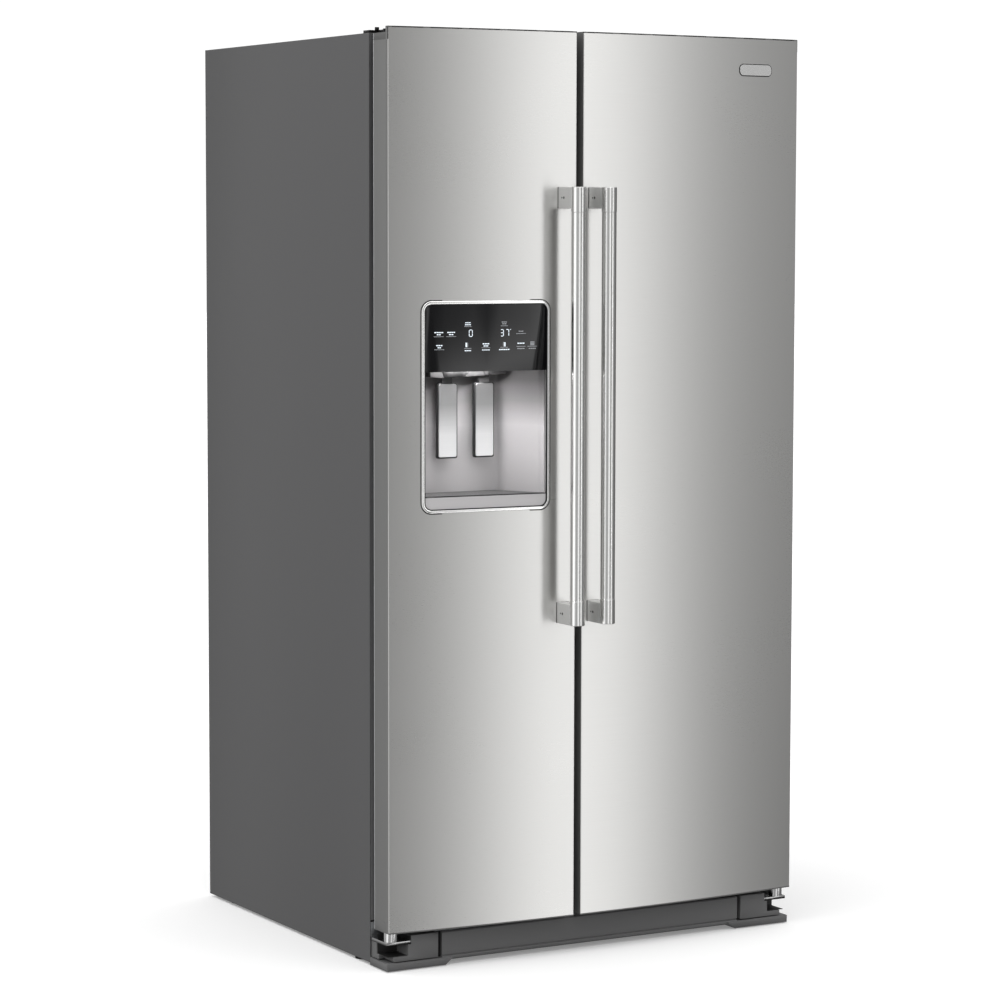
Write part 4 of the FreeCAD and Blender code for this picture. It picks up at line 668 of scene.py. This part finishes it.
# the hood's lower edge in millimetres: distance from its left end, drop under the panel; then the same
# from its right end
HOOD_LEFT_DROPS = ((0, 13), (30, 15))
HOOD_RIGHT_DROPS = ((45, 12), (0, 9))
MOULDED_ROUND = 1.5 * MM
CHUTE_SIDE = 10 * MM
NOZZLE_BACK = 32 * MM
NOZZLE_RISE = 2 * MM
SPOUT_AHEAD = 4 * MM
# turned profiles in millimetres, radius and height
FUNNEL = ((31, 40), (31, 22), (30, 6), (27, -6), (24, -14), (22.5, -15), (21, -13), (22, 0), (24, 40))
SPOUT = ((9, 30), (9, 2), (7, -8), (5.5, -12), (4, -12), (4, 0))


def recess_lamp():
    """The small lens over the recess, just behind the panel's lower edge."""
    outline = rounded_outline(recess_mid - LAMP_LEFT, recess_mid + LAMP_RIGHT, PANEL_Z + LAMP_LOW,
                              PANEL_Z + LAMP_HIGH, LAMP_ROUND, 3)
    shape = slab(outline, FACE_Y + LAMP_FRONT, FACE_Y + LAMP_BACK)
    piece("dispenser_lamp", joined("lamp", [shape]), "freezer_door", "lamp_lens")


recess_lamp()


def hood():
    """The dark moulding that hangs over the paddles, with a sloping lower edge."""
    half = RECESS_BACK_WIDTH / 2 - HOOD_AIR
    left, right = recess_mid - half, recess_mid + half
    outline = [(left + along * MM, PANEL_Z - drop * MM) for along, drop in HOOD_LEFT_DROPS]
    outline += [(right - along * MM, PANEL_Z - drop * MM) for along, drop in HOOD_RIGHT_DROPS]
    outline += [(right, PANEL_Z + HOOD_RISE), (left, PANEL_Z + HOOD_RISE)]
    shape = slab(outline, recess_back_y - HOOD_DEPTH, recess_back_y - HOOD_BACK_AIR)
    item = piece("dispenser_hood", joined("hood", [shape]), "freezer_door", "hood_plastic")
    round_edges(item, MOULDED_ROUND)


hood()


def nozzle(profile, x, y, steps):
    """A turned nozzle from a profile in millimetres, hung at the panel's lower edge."""
    return lathe([(r * MM, h * MM) for r, h in profile], (x, y, PANEL_Z + NOZZLE_RISE), steps=steps)


def nozzles():
    """The ice chute's funnel and the water spout, which hang behind the panel's lower edge."""
    y = recess_back_y - NOZZLE_BACK
    cone = nozzle(FUNNEL, middle("ice_paddle").x + CHUTE_SIDE, y, 48)
    pipe = nozzle(SPOUT, middle("water_paddle").x, y - SPOUT_AHEAD, 32)
    piece("dispenser_nozzles", joined("nozzles", [cone, pipe]), "freezer_door", "hood_plastic",
          angle=50)


nozzles()


# ---------------------------------------------------------------- dispenser: paddles
PADDLE_HALF = 21 * MM
PADDLE_TALL = 140 * MM
PADDLE_CORNER = 3.5 * MM
PADDLE_ARCH = 3 * MM
PADDLE_SET_BACK = 2.5 * MM
BACKING_GROW = 0.6 * MM
BACKING_FRONT, BACKING_BACK = 4.5 * MM, 3 * MM
BACKING_ROUND = 1.2 * MM
PLATE_INSET = 1.8 * MM
PLATE_FRONT, PLATE_BACK = 6.3 * MM, 4 * MM
PLATE_ROUND = 0.9 * MM
RIB_COUNT = 7
RIB_DROP, RIB_PITCH, RIB_HEIGHT = 14 * MM, 4.2 * MM, 1 * MM
RIB_SIDE, RIB_ROUND = 5 * MM, 0.45 * MM
RIB_FRONT, RIB_BACK = 6.7 * MM, 6.2 * MM
STEM_HALF = 11 * MM
STEM_FRONT, STEM_BACK = 4 * MM, 3 * MM
STEM_OVERLAP, STEM_AIR = 6 * MM, 2 * MM
TOUCH = 1e-6


def arched_outline(x, z0, inset):
    """A tall round-cornered outline whose upper edge arches."""
    top = z0 + PADDLE_TALL - inset
    outline = rounded_outline(x - PADDLE_HALF + inset, x + PADDLE_HALF - inset, z0 + inset, top,
                              PADDLE_CORNER, 6)
    result = []
    for px, pz in outline:
        rise = PADDLE_ARCH * (1 - ((px - x) / PADDLE_HALF) ** 2)
        is_upper = pz > top - PADDLE_CORNER - TOUCH
        result.append((px, pz + rise if is_upper else pz))
    return result


def paddle(node, body):
    """A dark backing with an arched brushed plate, ribs on the plate, and the stem above it."""
    x, y, z0 = middle(node).x, low(node).y + PADDLE_SET_BACK, low(node).z
    backing = slab(arched_outline(x, z0, -BACKING_GROW), y - BACKING_FRONT, y + BACKING_BACK)
    base = piece(node + "_backing", joined("backing", [backing]), body, "black_plastic",
                 [node])
    round_edges(base, BACKING_ROUND)
    face = slab(arched_outline(x, z0, PLATE_INSET), y - PLATE_FRONT, y - PLATE_BACK)
    plate = piece(node + "_plate", joined("plate", [face]), body, "brushed_paddle")
    round_edges(plate, PLATE_ROUND)
    ribs = []
    for row in range(RIB_COUNT):
        level = z0 + PADDLE_TALL - RIB_DROP - RIB_PITCH * row
        rib = rounded_outline(x - PADDLE_HALF + RIB_SIDE, x + PADDLE_HALF - RIB_SIDE, level,
                              level + RIB_HEIGHT, RIB_ROUND, 3)
        ribs.append(slab(rib, y - RIB_FRONT, y - RIB_BACK))
    piece(node + "_ribs", joined("ribs", ribs), body, "brushed_paddle")
    stem = block(x - STEM_HALF, x + STEM_HALF, y - STEM_FRONT, y + STEM_BACK,
                 z0 + PADDLE_TALL - STEM_OVERLAP, high(node).z - STEM_AIR)
    arm = piece(node + "_stem", joined("stem", [stem]), body, "hood_plastic")
    round_edges(arm, MOULDED_ROUND)


paddle("ice_paddle", "ice_paddle")
paddle("water_paddle", "water_paddle")


# ---------------------------------------------------------------- dispenser: drip tray
LIP_INSET = 0.6 * MM
LIP_DROP = 2 * MM
LIP_CORNER = 12.5 * MM
LIP_OUTLINE_HEIGHT = 60 * MM
LIP_BACK_SET = 0.2 * MM
LIP_DEPTH = 16 * MM
LIP_ROUND = 1 * MM
LIP_WELD = 0.05 * MM
SEAM_LOW, SEAM_HIGH = 0.2 * MM, 1.6 * MM
SEAM_ROUND = 0.5 * MM
SEAM_BACK_SET = 1.2 * MM
SEAM_DEPTH = 12 * MM
BED_INSET = 0.9 * MM
BED_DROP = 2.2 * MM
BED_DEPTH = 6 * MM
GRID_ROWS = 19
GRID_SHARE = 0.62
GRID_FRONT, GRID_BACK = 9 * MM, 4 * MM
GRID_SIDE = 4 * MM
GRID_CORNER_DEPTH, GRID_CORNER_SIDE = 14 * MM, 5 * MM
GRID_LOW, GRID_HIGH, GRID_CROSS_HIGH = 1.5 * MM, 1.4 * MM, 1.2 * MM
CROSS_SPACING, CROSS_HALF = 58 * MM, 2 * MM
GRID_ROUND = 0.4 * MM


def tray_lip():
    """The lip of the drip tray, cut level at its top, and the dark joint above it."""
    z0, lip_z = low("dispenser_tray").z, TRAY_Z - LIP_DROP
    x0, x1 = open_x0 + LIP_INSET, open_x1 - LIP_INSET
    outline = [(x, min(z, lip_z))
               for x, z in rounded_outline(x0, x1, z0, z0 + LIP_OUTLINE_HEIGHT, LIP_CORNER, 10)]
    lip = slab(outline, lambda x: front_y(x, -LIP_BACK_SET), lambda x: front_y(x) + LIP_DEPTH)
    item = piece("drip_tray_lip", joined("lip", [lip]), "freezer_door", "recess_plastic",
                 ["dispenser_tray"])
    item.modifiers.new("clean", "WELD").merge_threshold = LIP_WELD
    round_edges(item, LIP_ROUND)
    strip = rounded_outline(x0, x1, lip_z - SEAM_LOW, lip_z + SEAM_HIGH, SEAM_ROUND, 2)
    seam = slab(strip, lambda x: front_y(x, -SEAM_BACK_SET), lambda x: front_y(x) + SEAM_DEPTH)
    piece("drip_tray_seam", joined("seam", [seam]), "freezer_door", "dark_seam_and_painted_shade")


def level_plate(path, z_low, z_high):
    """A flat plate between two heights, with an outline in X and Y."""
    count = len(path)
    points = [(x, y, z) for z in (z_low, z_high) for x, y in path]
    faces = [tuple(range(count)), tuple(range(count, 2 * count))]
    faces += [(k, (k + 1) % count, count + (k + 1) % count, count + k) for k in range(count)]
    return points, faces


def grid_half(y_back):
    """Half the length of the grid's bar whose back edge is at a depth: it follows the alcove."""
    front_half = (open_x1 - open_x0) / 2
    share = max(0.0, (y_back - FACE_Y - BEND_DEPTH) / (recess_back_y - FACE_Y - BEND_DEPTH))
    half = front_half + (RECESS_BACK_WIDTH / 2 - front_half) * share - GRID_SIDE
    if y_back > recess_back_y - GRID_CORNER_DEPTH:
        half -= GRID_CORNER_SIDE
    return half


def tray_floor():
    """The dark bed of the tray and the slotted grid over it."""
    plate_z = TRAY_Z - BED_DROP
    bed = level_plate(recess_path(BED_INSET, RECESS_ROUND), plate_z - BED_DEPTH, plate_z)
    piece("drip_tray_bed", joined("bed", [bed]), "freezer_door", "dark_seam_and_painted_shade")
    back = recess_back_y - GRID_BACK
    front = front_y(recess_mid) + GRID_FRONT
    pitch = (back - front) / GRID_ROWS
    bars = []
    for row in range(GRID_ROWS):
        y0 = front + row * pitch
        y1 = y0 + pitch * GRID_SHARE
        half = grid_half(y1)
        bars.append(block(recess_mid - half, recess_mid + half, y0, y1, plate_z - GRID_LOW,
                          plate_z + GRID_HIGH))
    for x in (recess_mid - CROSS_SPACING, recess_mid, recess_mid + CROSS_SPACING):
        bars.append(block(x - CROSS_HALF, x + CROSS_HALF, front, back, plate_z - GRID_LOW,
                          plate_z + GRID_CROSS_HIGH))
    grid = piece("drip_tray_grid", joined("grid", bars), "freezer_door", "tray_plastic",
                 ["tray_grille"])
    round_edges(grid, GRID_ROUND, 2)


tray_lip()
tray_floor()


# ---------------------------------------------------------------- the panel's marks
PANEL_PROUD = 0.6 * MM
MARK_PROUD = 0.15 * MM
MARK_SINK = 0.1 * MM
SEGMENTS = {"0": "abcdef", "3": "abgcd", "7": "abc"}
FIGURES_DROP = 53 * MM
FIGURE_HEIGHT = 12 * MM
FIGURE_STROKE = 1.3 * MM
# the figures on the display: character, millimetres from the middle, millimetres of width
FIGURES = (("0", -33, 6.4), ("3", 31.5, 6.0), ("7", 42.5, 6.0))
DEGREE_X, DEGREE_RISE, DEGREE_SIZE = 49 * MM, 6 * MM, 1.6 * MM
DASH_GAP = 0.6 * MM
# rows of dashes that stand for captions and their underlines, in millimetres: across from the middle,
# up from the figures, width, height; then the number of dashes, and 1 for a bright row or 0 for a dim one
CAPTIONS = (
    (-39, 19.5, 11, 1.7, 3, 1), (-39, 15.8, 12, 1.7, 3, 1), (-39, 12.5, 15, 0.8, 1, 0),
    (36, 20, 11, 1.6, 3, 0), (36, 16.6, 9, 1.6, 2, 0), (36, 13, 15, 0.8, 1, 0),
    (-98, 2, 18, 2.0, 4, 1), (-98, -2, 8, 1.8, 2, 1), (-98, -5.6, 20, 0.8, 1, 0),
    (-73, 2, 16, 2.0, 4, 1), (-73, -2, 9, 1.8, 2, 1), (-73, -5.6, 20, 0.8, 1, 0),
    (71, 2.5, 10, 1.6, 3, 0), (71, -2, 21, 0.8, 1, 0),
    (-97, -22, 13, 2.0, 3, 1), (-97, -26, 7, 1.8, 2, 1), (-97, -29.6, 20, 0.8, 1, 0),
    (-39, -28, 15, 0.8, 1, 0), (-39, -32.2, 13, 1.8, 3, 1),
    (-2, -20, 14, 2.0, 3, 1), (-2, -24, 10, 1.8, 2, 1), (-2, -27.4, 18, 0.8, 1, 0),
    (-2, -31.4, 16, 1.6, 4, 1),
    (36, -27, 16, 0.8, 1, 0), (36, -31.2, 22, 1.9, 5, 1),
    (71, -20, 15, 1.9, 3, 1), (71, -26, 19, 0.8, 1, 0), (71, -30, 15, 1.6, 4, 0),
    (95, -26, 20, 0.8, 1, 0), (95, -30, 15, 1.5, 4, 0),
)
# the two glasses: millimetres from the middle, and the side of the bright bar
GLASSES = ((-41, -1), (36, 1))
GLASS_DROP, GLASS_HEIGHT, GLASS_OFFSET = 21.5 * MM, 8.5 * MM, 1.4 * MM
GLASS_BRIGHT, GLASS_DIM = 2.6 * MM, 1.6 * MM
STACK_X, STACK_DROP, STACK_PITCH = 95 * MM, 18 * MM, 2.6 * MM
STACK_WIDTH, STACK_HEIGHT, STACK_COUNT = 9 * MM, 1.6 * MM, 3


def bar_mark(x, z, width, height):
    """A thin bar with round ends on the panel's face."""
    outline = rounded_outline(x - width / 2, x + width / 2, z - height / 2, z + height / 2,
                              min(width, height) * 0.4, 2)
    return slab(outline, lambda px: front_y(px, PANEL_PROUD + MARK_PROUD),
                lambda px: front_y(px, PANEL_PROUD - MARK_SINK))


def digit(character, x, z, width):
    """A seven-bar figure."""
    across, up = width / 2, FIGURE_HEIGHT / 2
    level = (width - FIGURE_STROKE, FIGURE_STROKE)
    upright = (FIGURE_STROKE, up - FIGURE_STROKE / 2)
    places = {"a": (0, up, *level), "g": (0, 0, *level), "d": (0, -up, *level),
              "b": (across, up / 2, *upright), "c": (across, -up / 2, *upright),
              "f": (-across, up / 2, *upright), "e": (-across, -up / 2, *upright)}
    bars = [places[letter] for letter in SEGMENTS[character]]
    return [bar_mark(x + dx, z + dz, bar_width, bar_height) for dx, dz, bar_width, bar_height in bars]


def dashes(x, z, width, height, count):
    """A row of short bars that stands for a caption."""
    each = (width - DASH_GAP * (count - 1)) / count
    start = x - width / 2 + each / 2
    return [bar_mark(start + k * (each + DASH_GAP), z, each, height) for k in range(count)]


def panel_marks():
    """The display's figures, captions, glasses and stack of bars, lit or dim."""
    figures_z = high("dispenser_panel").z - FIGURES_DROP
    bright, dim = [], []
    for character, x, width in FIGURES:
        bright += digit(character, recess_mid + x * MM, figures_z, width * MM)
    bright.append(bar_mark(recess_mid + DEGREE_X, figures_z + DEGREE_RISE, DEGREE_SIZE, DEGREE_SIZE))
    for x, z, width, height, count, is_bright in CAPTIONS:
        row = dashes(recess_mid + x * MM, figures_z + z * MM, width * MM, height * MM, count)
        (bright if is_bright else dim).extend(row)
    for x, side in GLASSES:
        centre, centre_z = recess_mid + x * MM, figures_z - GLASS_DROP
        bright.append(bar_mark(centre + GLASS_OFFSET * side, centre_z, GLASS_BRIGHT, GLASS_HEIGHT))
        dim.append(bar_mark(centre - GLASS_OFFSET * side, centre_z, GLASS_DIM, GLASS_HEIGHT))
    for k in range(STACK_COUNT):
        z = figures_z - STACK_DROP - STACK_PITCH * k
        dim.append(bar_mark(recess_mid + STACK_X, z, STACK_WIDTH, STACK_HEIGHT))
    piece("panel_marks_bright", joined("marks_bright", bright), "freezer_door", "mark_bright")
    piece("panel_marks_dim", joined("marks_dim", dim), "freezer_door", "mark_dim")


panel_marks()


# ---------------------------------------------------------------- nameplate
NAMEPLATE_CORNER = 10 * MM
NAMEPLATE_SINK = 0.1 * MM
NAMEPLATE_ROUND = 0.3 * MM
# its layers: millimetres in from the edge, millimetres proud of the door, name, surface, slot
NAMEPLATE_LAYERS = ((0.0, 0.5, "nameplate_foot", "dark_seam_and_painted_shade", "black_plastic"),
                    (1.7, 1.5, "nameplate_rim", "bezel_metal", "bezel_metal"),
                    (3.6, 1.2, "nameplate_field", "plate_field", "bezel_metal"))


def nameplate():
    """A blank plate: a dark foot, a bright rim and a plain brushed field."""
    a, b = low("nameplate"), high("nameplate")
    nodes = ["nameplate"]
    for inset_mm, proud_mm, name, surface, slot in NAMEPLATE_LAYERS:
        inset, proud = inset_mm * MM, proud_mm * MM
        outline = rounded_outline(a.x + inset, b.x - inset, a.z + inset, b.z - inset,
                                  NAMEPLATE_CORNER - inset, 8)
        shape = slab(outline, lambda x: front_y(x, proud), lambda x: front_y(x, -NAMEPLATE_SINK))
        item = piece(name, joined(name, [shape]), "fridge_door", surface, nodes)
        round_edges(item, NAMEPLATE_ROUND, 2)
        nodes = []


nameplate()


# ---------------------------------------------------------------- base
NOTCH = 46 * MM
NOTCH_DROP = 38 * MM
END_WIDTH = 110 * MM
SLOT_GAP = 8 * MM
# the sheets of painted shade in the base's notches: thickness, margins and set-backs
SHADE_SHEET = 0.5 * MM
SHADE_SHEET_MARGIN = 2 * MM
SHADE_SHEET_TOP_AIR = 1 * MM
SHADE_SHEET_FLOOR_SET = 4 * MM
SLOT_SET, SLOT_LOW = 10 * MM, 12 * MM
SLOT_PLATE = 1 * MM


def base_shadows():
    """Dark sheets of painted shade in the notches round the lower hinges and behind the upright slots."""
    ends_low, ends_high = low("grille_ends"), high("grille_ends")
    front = ends_low.y
    back = front + NOTCH
    floor_z, top_z = ends_high.z - NOTCH_DROP, ends_high.z - SHADE_SHEET_TOP_AIR
    plates = []
    for sign in (-1, 1):
        outer = sign * ends_high.x
        inner = outer - sign * NOTCH
        side = sorted((inner, inner + sign * SHADE_SHEET))
        across = sorted((outer - sign * SHADE_SHEET_MARGIN, inner))
        slot = sorted((outer - sign * (END_WIDTH - SHADE_SHEET_MARGIN),
                       outer - sign * (END_WIDTH + SLOT_GAP + SHADE_SHEET_MARGIN)))
        plates.append(block(*side, front + SHADE_SHEET_MARGIN, back, floor_z, top_z))
        plates.append(block(*across, back - SHADE_SHEET, back, floor_z, top_z))
        plates.append(block(*across, front + SHADE_SHEET_FLOOR_SET, back, floor_z, floor_z + SHADE_SHEET))
        plates.append(block(*slot, front + SLOT_SET, front + SLOT_SET + SLOT_PLATE, SLOT_LOW, ends_high.z))
    piece("base_shade_sheets", joined("shade_sheets", plates), "cabinet", "dark_seam_and_painted_shade")


base_shadows()


# ---------------------------------------------------------------- CAD nodes that stay
# width of the round on a node's edges, in millimetres
BEVELS = {"cabinet_shell": 1.5, "freezer_door_caps": 0.8, "fridge_door_caps": 0.8,
          "freezer_door_core": 0.8, "fridge_door_core": 0.8, "base_grille": 0.7, "grille_ends": 0.8,
          "door_hinges": 0.6, "hinge_screws": 0.5, "freezer_door_liner": 1.5, "fridge_door_liner": 1.5,
          "freezer_door_bins": 0.8, "fridge_door_bins": 0.8, "ice_bin": 1.0, "crisper_upper": 1.0,
          "crisper_lower": 1.0, "freezer_basket": 1.0, "control_box": 2.0, "ice_maker": 1.5,
          "freezer_door_gasket": 2.0, "fridge_door_gasket": 2.0, "freezer_shelves": 1.2,
          "fridge_shelf_frames": 1.5, "crisper_cover": 1.0, "water_filter": 1.5, "base_frame": 0.6,
          "dispenser_panel": 0.3, "compressor": 3.0, "evaporator_cover": 0.5, "front_rollers": 1.0,
          "rear_rollers": 1.0, "leveling_leg_left": 0.6, "leveling_leg_right": 0.6}
NODE_WELD = 0.002 * MM


def dress(node, item):
    """The slot's surface on a CAD node, and smooth shading with small round edges where it has them."""
    item.data.materials.clear()
    item.data.materials.append(SURFACES[SLOT_OF[node]])
    if node in BEVELS:
        settle(item)
        item.modifiers.new("weld", "WELD").merge_threshold = NODE_WELD
        round_edges(item, BEVELS[node] * MM)


for node_name, node_object in NODES.items():
    dress(node_name, node_object)


# ---------------------------------------------------------------- floor
FLOOR_HALF = 40.0
FLOOR_SEEN = (0.85, 0.85, 0.85, 1)
FLOOR_GLOW = 0.22
FLOOR_LIT = (0.3, 0.3, 0.3, 1)
WHITE = (1, 1, 1, 1)


def camera_share(tree, seen, lit):
    """Mixes two shaders: what the camera sees straight on, and what lights and mirrors see."""
    path = tree.nodes.new("ShaderNodeLightPath")
    mix = tree.nodes.new("ShaderNodeMixShader")
    tree.links.new(path.outputs["Is Camera Ray"], mix.inputs["Fac"])
    tree.links.new(lit, mix.inputs[1])
    tree.links.new(seen, mix.inputs[2])
    return mix.outputs["Shader"]


def floor_surface():
    """Pale with a weak glow to the camera, and a plain grey to all other rays."""
    surface = bpy.data.materials.new("floor_paint")
    surface.use_nodes = True
    tree = surface.node_tree
    tree.nodes.clear()
    pale = add_node(tree, "ShaderNodeBsdfDiffuse", Color=FLOOR_SEEN)
    glow = add_node(tree, "ShaderNodeEmission", Color=WHITE, Strength=FLOOR_GLOW)
    both = tree.nodes.new("ShaderNodeAddShader")
    tree.links.new(pale.outputs[0], both.inputs[0])
    tree.links.new(glow.outputs[0], both.inputs[1])
    grey = add_node(tree, "ShaderNodeBsdfDiffuse", Color=FLOOR_LIT)
    output = tree.nodes.new("ShaderNodeOutputMaterial")
    tree.links.new(camera_share(tree, both.outputs[0], grey.outputs[0]), output.inputs["Surface"])
    return surface


def floor():
    """A wide floor that takes the contact shadow and isn't reflected."""
    size = FLOOR_HALF
    mesh = mesh_of("floor", [(-size, -size, 0), (size, -size, 0), (size, size, 0), (-size, size, 0)],
                   [(0, 1, 2, 3)])
    item = bpy.data.objects.new("floor", mesh)
    bpy.context.scene.collection.objects.link(item)
    item.visible_glossy = False
    mesh.materials.append(floor_surface())


floor()


# ---------------------------------------------------------------- studio light
# brightness of the studio round the object: azimuth in degrees from the front, towards the right,
# then the brightness above the horizon and well below it
ROUND = (
    (-180, 0.32, 0.32), (-160, 0.62, 0.56), (-135, 0.55, 0.45), (-118, 0.4, 0.4),
    (-108, 1.0, 0.9), (-96, 1.6, 1.5), (-80, 1.6, 1.5), (-66, 0.6, 0.55),
    (-40, 0.38, 0.35), (-26, 0.6, 0.6), (-16, 1.5, 1.4), (-6, 1.1, 1.1),
    (3, 0.24, 0.24), (16, 0.22, 0.22), (21, 0.5, 0.48), (26, 1.5, 1.5),
    (29.5, 2.3, 2.3), (33, 1.5, 1.5), (37, 0.62, 0.52), (41, 0.48, 0.26),
    (46, 0.44, 0.16), (60, 0.24, 0.12), (100, 0.15, 0.12), (140, 0.15, 0.15),
    (165, 0.25, 0.25), (180, 0.32, 0.32),
)
OVERHEAD = 1.75
WORLD_GAIN = 2.5
SEEN_WHITE = 1.05
# the sine of the elevation at which one look gives way to the next
UPPER_ENDS, LOWER_STARTS = -0.09, -0.24
SIDES_END, OVERHEAD_STARTS = 0.45, 0.9


def maths(tree, operation, first, second):
    """One sum on two sockets or numbers."""
    item = add_node(tree, "ShaderNodeMath", operation=operation)
    for index, value in enumerate((first, second)):
        if isinstance(value, (int, float)):
            item.inputs[index].default_value = value
        else:
            tree.links.new(value, item.inputs[index])
    return item.outputs[0]


def azimuth_band(tree, share, column):
    """A colour ramp over the whole turn, through one column of the table."""
    band = add_node(tree, "ShaderNodeValToRGB")
    stops = band.color_ramp
    while len(stops.elements) < len(ROUND):
        stops.elements.new(0.5)
    for element, row in zip(stops.elements, ROUND):
        level = row[column] / WORLD_GAIN
        element.position = (row[0] + 180) / 360
        element.color = (level, level, level, 1)
    tree.links.new(share, band.inputs["Fac"])
    return band.outputs["Color"]


def span(tree, source, start, end, **settings):
    """0 to 1 as the source goes from start to end."""
    item = add_node(tree, "ShaderNodeMapRange", **settings)
    item.inputs["From Min"].default_value = start
    item.inputs["From Max"].default_value = end
    tree.links.new(source, item.inputs["Value"])
    return item.outputs["Result"]


def ring_light(tree):
    """The brightness in every direction: the ring's two columns, and the light overhead."""
    direction = add_node(tree, "ShaderNodeTexCoord")
    split = add_node(tree, "ShaderNodeSeparateXYZ")
    tree.links.new(direction.outputs["Generated"], split.inputs[0])
    back = maths(tree, "MULTIPLY", split.outputs["Y"], -1.0)
    azimuth = maths(tree, "ARCTAN2", split.outputs["X"], back)
    share = maths(tree, "MULTIPLY_ADD", azimuth, 1 / (2 * math.pi))
    share.node.inputs[2].default_value = 0.5
    upper, lower = (azimuth_band(tree, share, column) for column in (1, 2))
    sides = add_node(tree, "ShaderNodeMix", data_type="RGBA")
    tree.links.new(span(tree, split.outputs["Z"], UPPER_ENDS, LOWER_STARTS), sides.inputs["Factor"])
    tree.links.new(upper, sides.inputs["A"])
    tree.links.new(lower, sides.inputs["B"])
    mix = add_node(tree, "ShaderNodeMix", data_type="RGBA")
    mix.inputs["B"].default_value = (*[OVERHEAD / WORLD_GAIN] * 3, 1)
    height = span(tree, split.outputs["Z"], SIDES_END, OVERHEAD_STARTS, interpolation_type="SMOOTHSTEP")
    tree.links.new(height, mix.inputs["Factor"])
    tree.links.new(sides.outputs["Result"], mix.inputs["A"])
    return mix.outputs["Result"]


def world():
    """White to the camera; to everything else a soft ring of light that changes with azimuth."""
    made = bpy.data.worlds.new("studio")
    bpy.context.scene.world = made
    made.use_nodes = True
    tree = made.node_tree
    tree.nodes.clear()
    seen = add_node(tree, "ShaderNodeBackground", Color=WHITE, Strength=SEEN_WHITE)
    lit = add_node(tree, "ShaderNodeBackground", Strength=WORLD_GAIN)
    tree.links.new(ring_light(tree), lit.inputs["Color"])
    output = tree.nodes.new("ShaderNodeOutputWorld")
    tree.links.new(camera_share(tree, seen.outputs[0], lit.outputs[0]), output.inputs["Surface"])


world()


# ---------------------------------------------------------------- camera
CAMERA_PLACE = (-3.208, -5.637, 1.398)
CAMERA_TURN = {"yaw": 29.549, "pitch": -4.908, "roll": 0.108}
CAMERA_LENS = 116.885
CAMERA_SENSOR = 36.0


def camera():
    """A long lens to the left of the front, a little above the middle and looking slightly down."""
    data = bpy.data.cameras.new("camera")
    item = bpy.data.objects.new("camera", data)
    bpy.context.scene.collection.objects.link(item)
    data.sensor_width = CAMERA_SENSOR
    data.lens = CAMERA_LENS
    item.location = CAMERA_PLACE
    yaw, pitch, roll = (math.radians(CAMERA_TURN[name]) for name in ("yaw", "pitch", "roll"))
    ahead = Vector((math.sin(yaw) * math.cos(pitch), math.cos(yaw) * math.cos(pitch), math.sin(pitch)))
    item.rotation_mode = "QUATERNION"
    turn = ahead.to_track_quat("-Z", "Y").to_matrix() @ Matrix.Rotation(roll, 3, "Z")
    item.rotation_quaternion = turn.to_quaternion()
    bpy.context.scene.camera = item


camera()
bpy.context.scene.view_settings.view_transform = "Standard"
